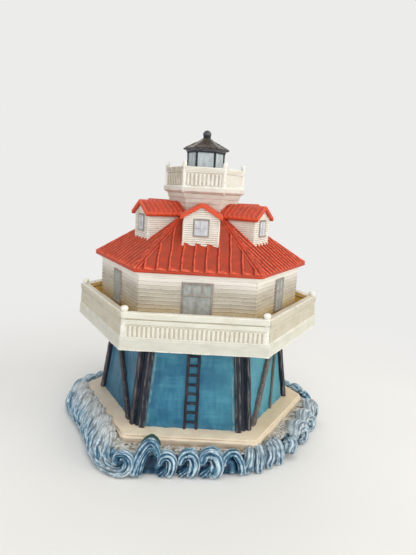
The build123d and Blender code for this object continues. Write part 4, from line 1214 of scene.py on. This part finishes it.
def dormer_plan():
    """Columns round a dormer's walls, from the roof on the left round the front to the roof on the right:
    place and outward direction; the corners are quarter circles."""
    turn = np.radians(np.linspace(0, 90, 5))
    sine, cosine = np.sin(turn), np.cos(turn)
    half, face = DORMER_HALF - DORMER_CORNER, DORMER_FACE - DORMER_CORNER
    side = np.linspace(-25.0, -face, 60)
    left = stacked(-DORMER_HALF, side, -1.0, 0.0)
    left_corner = stacked(-half - DORMER_CORNER * cosine, -face - DORMER_CORNER * sine, -cosine, -sine)
    ahead = stacked(np.linspace(-half, half, 90), -DORMER_FACE, 0.0, -1.0)
    right_corner = stacked(half + DORMER_CORNER * sine, -face - DORMER_CORNER * cosine, sine, -cosine)
    right = stacked(DORMER_HALF, side[::-1], 1.0, 0.0)
    return np.concatenate([left, left_corner, ahead, right_corner, right])


def build_dormers():
    """Each dormer's walls are one band carried round its plan; its foot follows the roof and its head the
    gable, and fine lapped boards stand out of it between plain corner strips."""
    x, y, out_x, out_y = dormer_plan().T
    low = EAVE_TOP + (EAVE_APOTHEM + y) * ROOF_SLOPE - 0.7
    high = DORMER_APEX - np.abs(x) * DORMER_RISE + 0.5
    z = low + (high - low) * upright(np.linspace(0.0, 1.0, 110))
    run = np.where(np.abs(out_y) > 0.5, x, y)
    ends = eased(np.abs(x), 10.4, 10.9) * (np.abs(out_y) > 0.9)
    for number, face in enumerate(FACES):
        rise = z - DORMER_FOOT + 0.09 * ripple(run, z * 0.4, 11.0, 140 + number)
        lift = (lapped(rise, 1.36, 0.4, 0.22) - 0.05) * (1.0 - ends) + 0.38 * ends
        lift = lift + 0.1 * ripple(run, z, 9.0, 150 + number) + 0.35 * (1.0 - eased(z - low, 0.9, 1.7))
        points = stacked(x + lift * out_x, y + lift * out_y, z)
        skin = Skin()
        skin.tube(on_face(points, face), steps=(2, 1))
        skin.make("gable_" + face, "dormer_" + face, "cream_paint", DORMERS)


def build_dormer_windows():
    """Dormer windows: two lights over two, over a sill."""
    levels = (DORMER_WINDOW_FOOT, DORMER_WINDOW_FOOT + 5.9, DORMER_WINDOW_FOOT + 11.4)
    skin = Skin()
    for face in FACES:
        relief_window(skin, face, 10.4, levels, DORMER_FACE + 0.9, 2, bar=1.0, sink=0.5, thick=1.8, pale=0.9)
    skin.make("gable_windows", "dormer_windows", "window_paint", GABLE_WINDOWS)


def build_dormer_roofs():
    """Each dormer roof is a closed chevron section carried from the watch room out past the gable: lapped
    pans lift its upper side, and the section closes to its middle line at both ends.  The tint is bright
    along the verge and the eaves."""
    across = np.linspace(-DORMER_ROOF_HALF, DORMER_ROOF_HALF, 61)
    fall = np.abs(across) * DORMER_RISE
    top = stacked(across, DORMER_APEX + 2.1 - fall + 0.25 * hump(across, 0.0, 0.8))
    under = stacked(across * 0.99, DORMER_APEX - fall + 0.05)
    middle = np.concatenate([(top + under) / 2, ((top + under) / 2)[::-1]])
    loop = np.concatenate([top, under[::-1]])
    y = np.concatenate([[-19.5], np.linspace(-19.5, -50.2, 150), [-50.4, -50.5, -50.5, -50.5]])
    full = np.concatenate([[0.0], np.ones(150), [0.98, 0.9, 0.5, 0.0]])
    x, z = (upright(middle[:, axis]) + upright(loop[:, axis] - middle[:, axis]) * full for axis in (0, 1))
    place = upright(loop[:, 0])
    side = upright(np.repeat([1.0, 0.0], 61)) * eased(np.abs(place), 0.5, 2.2)
    eave = 0.8 * eased(np.abs(place), DORMER_ROOF_HALF - 1.1, DORMER_ROOF_HALF - 0.5)
    tint = np.maximum(0.95 * eased(-y, 48.9, 49.3), eave)
    for number, face in enumerate(FACES):
        wander = y + 0.25 * ripple(place, 0.0, 12.0, 160 + number)
        pans = lap_of_pans((1.2 - wander) / 3.6, 1.15) * (1.0 - eased(-y, 48.6, 49.2))
        rough = 0.06 * ripple(place, y, 7.0, 170 + number)
        lift = (pans + 0.35 * eased(-y, 48.8, 49.2) + rough) * side * full
        skin = Skin()
        skin.grid(on_face(stacked(x, y, z + lift), face), tint, loop=True, steps=(1, 3))
        skin.make("pans_" + face, "dormer_roof_" + face, "roof_paint", ROOF)


# Watch room and lantern

def build_watch_room():
    """Six-sided room that flares upwards, with faint boards."""
    columns = around(36, 3)
    level = np.linspace(ROOF_TOP - 1.0, WATCH_TOP, 64)
    flare = (WATCH_HEAD_RADIUS - WATCH_FOOT_RADIUS) * (level - ROOF_TOP) / WATCH_HEIGHT
    apothem = COS30 * (WATCH_FOOT_RADIUS + flare)
    place = along_face(columns, apothem, LANTERN_ROUNDING) + 40 * columns[0]
    rise = upright(level) - ROOF_TOP + 0.12 * ripple(place, upright(level), 14.0, 180)
    lift = lapped(rise, 3.5, 0.35, 0.2) - 0.3 + 0.12 * ripple(place, upright(level), 9.0, 181)
    skin = Skin()
    skin.tube(six_sided(columns, (apothem, level), LANTERN_ROUNDING, lift), steps=(2, 1))
    skin.make("watch_boards", "watch_room", "cream_paint", CREAM)


def build_lantern_deck():
    """Six-sided gallery band with a cove under it."""
    columns = around(40, 3)
    z = WATCH_TOP
    profile = traced([
        (19.0, z), (23.7, z + 0.05), (24.6, z + 0.5), (25.5, z + 1.3), (25.8, z + 1.5), (25.8, z + 4.3),
        (25.5, z + 4.75), (10.0, z + 4.8),
    ], 0.35)
    place = along_face(columns, profile[:, 0], LANTERN_ROUNDING) + 40 * columns[0]
    lift = 0.13 * ripple(place, upright(profile[:, 1]) * 2.0, 8.0, 190)
    skin = Skin()
    skin.tube(six_sided(columns, profile.T, LANTERN_ROUNDING, lift, tilt_of(profile)), steps=(2, 1))
    skin.make("lantern_band", "lantern_deck", "cream_paint", CREAM)


def build_lantern_rail():
    """Rail ring: a closed section carried round the hexagon; its head sweeps up to the posts in coves,
    ballusters stand out of the front and faintly of the front left, which is painted darker as painted shade,
    and turned posts with round tops stand at the corners."""
    columns = around([150, 60, 60, 60, 60, 90], 2)
    front, left = is_face(columns, 0), is_face(columns, 5)
    place = columns[1] * TAN30 * RAIL_APOTHEM
    gap = np.clip((RAIL_APOTHEM * TAN30 - 1.2 - np.abs(place)) / 2.6, 0.0, 1.0)
    head = 13.0 + 2.6 * (1.0 - np.sqrt(1.0 - (1.0 - gap) ** 2))
    share = upright(np.linspace(0.0, 1.0, 70))
    up = head * share
    bars = (place / 2.8 + 0.5) % 1.0 - 0.5
    bars = 0.8 * (1.0 - eased(np.abs(bars), 0.2, 0.33)) * eased(up, 0.5, 1.0) * (1.0 - eased(up, 8.2, 8.7))
    bars = bars * np.maximum(1.0 * front, 0.35 * left) * (1.0 - eased(np.abs(place), 11.4, 11.8))
    cap = 0.8 * eased(up, 9.2, 9.5) * (1.0 - 0.25 * hump(up, 10.0, 0.25))
    foot = 0.5 * (1.0 - eased(up, 0.1, 0.6))
    lift = np.maximum(np.maximum(bars, cap), foot) - 0.8 - 0.35 * eased(share, 0.97, 1.0)
    lift = lift + 0.08 * ripple(place + 40 * columns[0], up, 7.0, 200)
    outer = six_sided(columns, (RAIL_APOTHEM, 0.0), LANTERN_ROUNDING, lift)
    outer[..., 2] = LANTERN_FLOOR + up
    deep = upright([-0.8, -1.3, -1.9, -2.3, -2.4, -2.4, -2.4])
    inner = six_sided(columns, (RAIL_APOTHEM, 0.0), LANTERN_ROUNDING, deep)
    inner[..., 2] = LANTERN_FLOOR + head * upright([1.0, 1.0, 1.0, 0.97, 0.7, 0.35, 0.0]) + 0.05
    skin = Skin()
    # The front left face gets a raised hollow so that the dark wash covers it: painted shade.
    skin.grid(np.concatenate([outer, inner]), ring=True, loop=True, steps=(2, 3), extra=0.17 * left)
    profile = traced(
        [(1.25, -4.6), (1.25, 12.0), (1.5, 14.2), (1.55, 15.4), (1.3, 16.2), (0.8, 16.8), (0.25, 17.0)], 0.5)
    for angle in CORNERS.values():
        centre = turned(np.array([RAIL_APOTHEM / COS30 - 1.4, 0.0, 0.0]), angle)
        skin.tube(lathe(profile[:, 0], LANTERN_FLOOR + profile[:, 1], centre, 20), steps=(1, 2))
    skin.make("lantern_railing", "lantern_rail", "cream_paint", CREAM)


def build_lantern_roof():
    """Six-sided cap: soffit band, eave, then a slope with ribs at its corners that is a little hollow, up
    to a round neck."""
    columns = around(24, 4)
    z = LANTERN_TOP
    profile = traced([
        (4.0, z), (12.5, z), (12.7, z + 0.9), (13.7, z + 1.0), (14.35, z + 1.3), (14.4, z + 2.0),
        (14.1, z + 2.4), (11.0, z + 3.9), (8.2, z + 5.6), (6.2, z + 6.8), (4.9, z + 7.9), (4.1, z + 8.7),
        (3.6, z + 9.2), (1.0, z + 9.2),
    ], 0.42)
    apothem, rise = profile[:, 0], upright(profile[:, 1] - z)
    rounding = np.minimum(0.5 + 2.6 * eased(-apothem, -6.0, -3.0), apothem * 0.98)
    place = along_face(columns, apothem, rounding) + 30 * columns[0]
    ribs = 0.35 * eased(np.abs(columns[1]), 0.9, 1.0) * eased(rise, 2.4, 3.4) * (1.0 - eased(rise, 6.0, 8.0))
    lift = 0.14 * ripple(place, upright(apothem), 3.6, 210) + ribs
    points = six_sided(columns, profile.T, rounding, lift, tilt_of(profile))
    skin = Skin()
    skin.tube(points, eased(rise, 1.2, 2.4), (0.0, 1.0))
    skin.make("lantern_cap", "lantern_roof", "lantern_roof_paint", LANTERN_ROOF)


def build_finial():
    """A turned ball: a half circle above, a slight waist and a flared foot below."""
    turn = np.radians(np.linspace(-70, 88, 22))
    flared = 1.0 + 0.11 * np.sin(2.6 * turn) + 0.1 * turn ** 2
    ball = 3.0 * np.where(turn < 0.0, flared, np.cos(turn)) * (1.0 + 0.03 * np.sin(3 * turn))
    radius = np.concatenate([[2.2, 2.4], ball])
    level = CAP_TOP + np.concatenate([[-0.4, -0.1], 2.9 + 3.2 * np.sin(turn)])
    skin = Skin()
    skin.tube(lathe(radius, level, (0.0, 0.0), 28), steps=(2, 2), extra=0.3)
    skin.make("finial_knob", "finial_ball", "lantern_roof_paint", LANTERN_ROOF)


def build_lantern_glass():
    """Lantern lights: a plain six-sided shaft painted as panes."""
    columns = around(12, 2)
    level = np.linspace(LANTERN_FLOOR - 0.2, LANTERN_TOP + 0.3, 40)
    lift = 0.05 * ripple(along_face(columns, PANE_APOTHEM, PANE_ROUNDING), upright(level), 6.0, 220)
    skin = Skin()
    skin.tube(six_sided(columns, (PANE_APOTHEM, level), PANE_ROUNDING, lift))
    skin.make("lantern_lights", "lantern_panes", "lantern_pane_paint", LANTERN_PANES)


def build_lantern_sash():
    """Lantern frame: round mullions at the corners of the lights and two bands, each a closed section carried
    round the hexagon."""
    columns = around(12, 2)
    level = np.linspace(LANTERN_FLOOR - 0.2, LANTERN_TOP + 0.3, 40)
    skin = Skin()
    for number, angle in enumerate(CORNERS.values()):
        radius = 0.85 + 0.08 * ripple(level, 0.0, 4.0, 221 + number)
        skin.tube(lathe(radius, level, turned(np.array([MULLION_PLACE, 0.0, 0.0]), angle), 16))
    for low, high in ((LANTERN_FLOOR, LANTERN_FLOOR + 2.4), (LANTERN_TOP - 1.0, LANTERN_TOP + 0.4)):
        section = traced([(11.0, low), (12.1, low), (12.1, high), (11.0, high), (11.0, low + 0.4)], 0.4)
        skin.grid(six_sided(columns, section.T, PANE_ROUNDING), ring=True, loop=True)
    skin.make("lantern_sash", "lantern_frame", "lantern_frame_paint", LANTERN_FRAME)


def cover_felt():
    """The felt keeps its own shape: its loose triangles are welded, and it gets its cloth."""
    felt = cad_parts["base_felt"]
    felt.modifiers.new("weld", "WELD").merge_threshold = 0.00001
    felt.data.materials.clear()
    felt.data.materials.append(FELT)


# Studio

PAPER = (236, 236, 235)


def posed(thing, right, up, back, place):
    """Puts a lamp or camera into the scene, with its own axes and its place in metres."""
    bpy.context.scene.collection.objects.link(thing)
    thing.matrix_world = Matrix([[right[i], up[i], back[i], place[i]] for i in range(3)] + [[0, 0, 0, 1]])


def looked_at(tree):
    """One for what the camera, a gloss or a glass sees, nothing for light on its way."""
    rays = tree.nodes.new("ShaderNodeLightPath")
    share = rays.outputs["Is Camera Ray"]
    for kind in ("Is Glossy Ray", "Is Transmission Ray"):
        most = tree.nodes.new("ShaderNodeMath")
        most.operation = "MAXIMUM"
        tree.links.new(share, most.inputs[0])
        tree.links.new(rays.outputs[kind], most.inputs[1])
        share = most.outputs["Value"]
    return share


def show_both(tree, share, first, second, surface):
    """Mixes two shaders by a share on their way to a surface."""
    both = tree.nodes.new("ShaderNodeMixShader")
    tree.links.new(share, both.inputs["Fac"])
    tree.links.new(first, both.inputs[1])
    tree.links.new(second, both.inputs[2])
    tree.links.new(both.outputs["Shader"], surface)


def build_floor():
    """Pale floor: a wide flat disc of rings that keeps the figurine's shadow, going over to plain white paper
    further out."""
    ring = lathe([30.0, 150.0, 400.0, 1200.0, 4000.0, 9000.0], [0.0] * 6, (0.0, 0.0), 64)[::-1] * 0.001
    index = np.arange(ring.shape[0] * ring.shape[1]).reshape(ring.shape[:2])
    wide = np.concatenate([index, index[:, :1]], 1)
    quads = np.stack([wide[:-1, :-1], wide[:-1, 1:], wide[1:, 1:], wide[1:, :-1]], -1).reshape(-1, 4)
    mesh = bpy.data.meshes.new("studio_floor")
    mesh.from_pydata(ring.reshape(-1, 3).tolist(), [], quads.tolist() + [index[-1].tolist()])
    floor = bpy.data.objects.new("studio_floor", mesh)
    bpy.context.scene.collection.objects.link(floor)
    paper = Paint("floor_paper", 0.9, 0.1, (240, 239, 236))
    paper.coat(paper.spots(200.0, 2.0, 0.3, 0.7), (236, 235, 232))
    mesh.materials.append(paper.finish(paper.noise(3.0, 3.0), 0.05))
    distance = paper.add("ShaderNodeVectorMath")
    distance.operation = "LENGTH"
    paper.link(paper.place, distance.inputs[0])
    far = paper.times(paper.share(distance.outputs["Value"], 130.0, 420.0), looked_at(paper.tree))
    glow = paper.add("ShaderNodeEmission")
    glow.inputs["Color"].default_value = tone(*PAPER)
    plain, bright = paper.shader.outputs["BSDF"], glow.outputs["Emission"]
    show_both(paper.tree, far, plain, bright, paper.output.inputs["Surface"])


def build_lamps():
    """Square soft lamps that look at the middle of the figurine; places and sizes in metres."""
    lamps = (
        ("key_lamp", (0.25, -1.05, 0.5), 0.8, 4.5, (1.0, 0.995, 0.985)),
        ("fill_lamp", (-0.95, -0.45, 0.45), 0.9, 1.5, (0.97, 0.98, 1.0)),
        ("side_lamp", (0.95, -0.2, 0.5), 0.7, 3.6, (1.0, 0.95, 0.84)),
        ("top_lamp", (0.12, -0.25, 1.15), 0.9, 3.5, (1.0, 0.99, 0.97)),
        ("rear_lamp", (-0.1, 1.0, 0.8), 0.9, 3.0, (1.0, 1.0, 1.0)),
    )
    for name, place, size, power, colour in lamps:
        data = bpy.data.lights.new(name, "AREA")
        data.size = size
        data.energy = power
        data.color = colour
        back = np.array(place) - (0.0, 0.0, 0.1)
        back /= np.linalg.norm(back)
        right = np.cross([0.0, 0.0, 1.0], back)
        right /= np.linalg.norm(right)
        posed(bpy.data.objects.new(name, data), right, np.cross(back, right), back, place)


def build_world():
    """A pale sky for light, which the camera sees as white paper."""
    world = bpy.data.worlds.new("studio_world")
    bpy.context.scene.world = world
    world.use_nodes = True
    tree = world.node_tree
    sky = tree.nodes["Background"]
    sky.inputs["Color"].default_value = (1.0, 1.0, 1.0, 1.0)
    sky.inputs["Strength"].default_value = 0.46
    paper = tree.nodes.new("ShaderNodeBackground")
    paper.inputs["Color"].default_value = tone(*PAPER)
    paper.inputs["Strength"].default_value = 1.0
    surface = tree.nodes["World Output"].inputs["Surface"]
    show_both(tree, looked_at(tree), sky.outputs["Background"], paper.outputs["Background"], surface)


def build_camera():
    """A camera where the photograph was taken, and the standard view of colours."""
    data = bpy.data.cameras.new("camera")
    data.sensor_width = 36.0
    data.lens = 29.66
    data.clip_start = 0.01
    data.clip_end = 20.0
    camera = bpy.data.objects.new("camera", data)
    right = np.array([0.99839, 0.00435, 0.05652])
    up = np.array([-0.05635, 0.18557, 0.98101])
    posed(camera, right, up, np.cross(right, up), (0.00428, -0.34132, 0.17285))
    bpy.context.scene.camera = camera
    bpy.context.scene.view_settings.view_transform = "Standard"


build_sea()
build_slab()
build_drum()
build_piles()
build_braces()
build_ladder()
build_gallery_deck()
build_parapets()
build_newels()
build_cottage()
build_windows()
build_main_roof()
build_dormers()
build_dormer_windows()
build_dormer_roofs()
build_watch_room()
build_lantern_deck()
build_lantern_rail()
build_lantern_roof()
build_finial()
build_lantern_glass()
build_lantern_sash()
cover_felt()
build_floor()
build_lamps()
build_world()
build_camera()
bpy.context.view_layer.update()
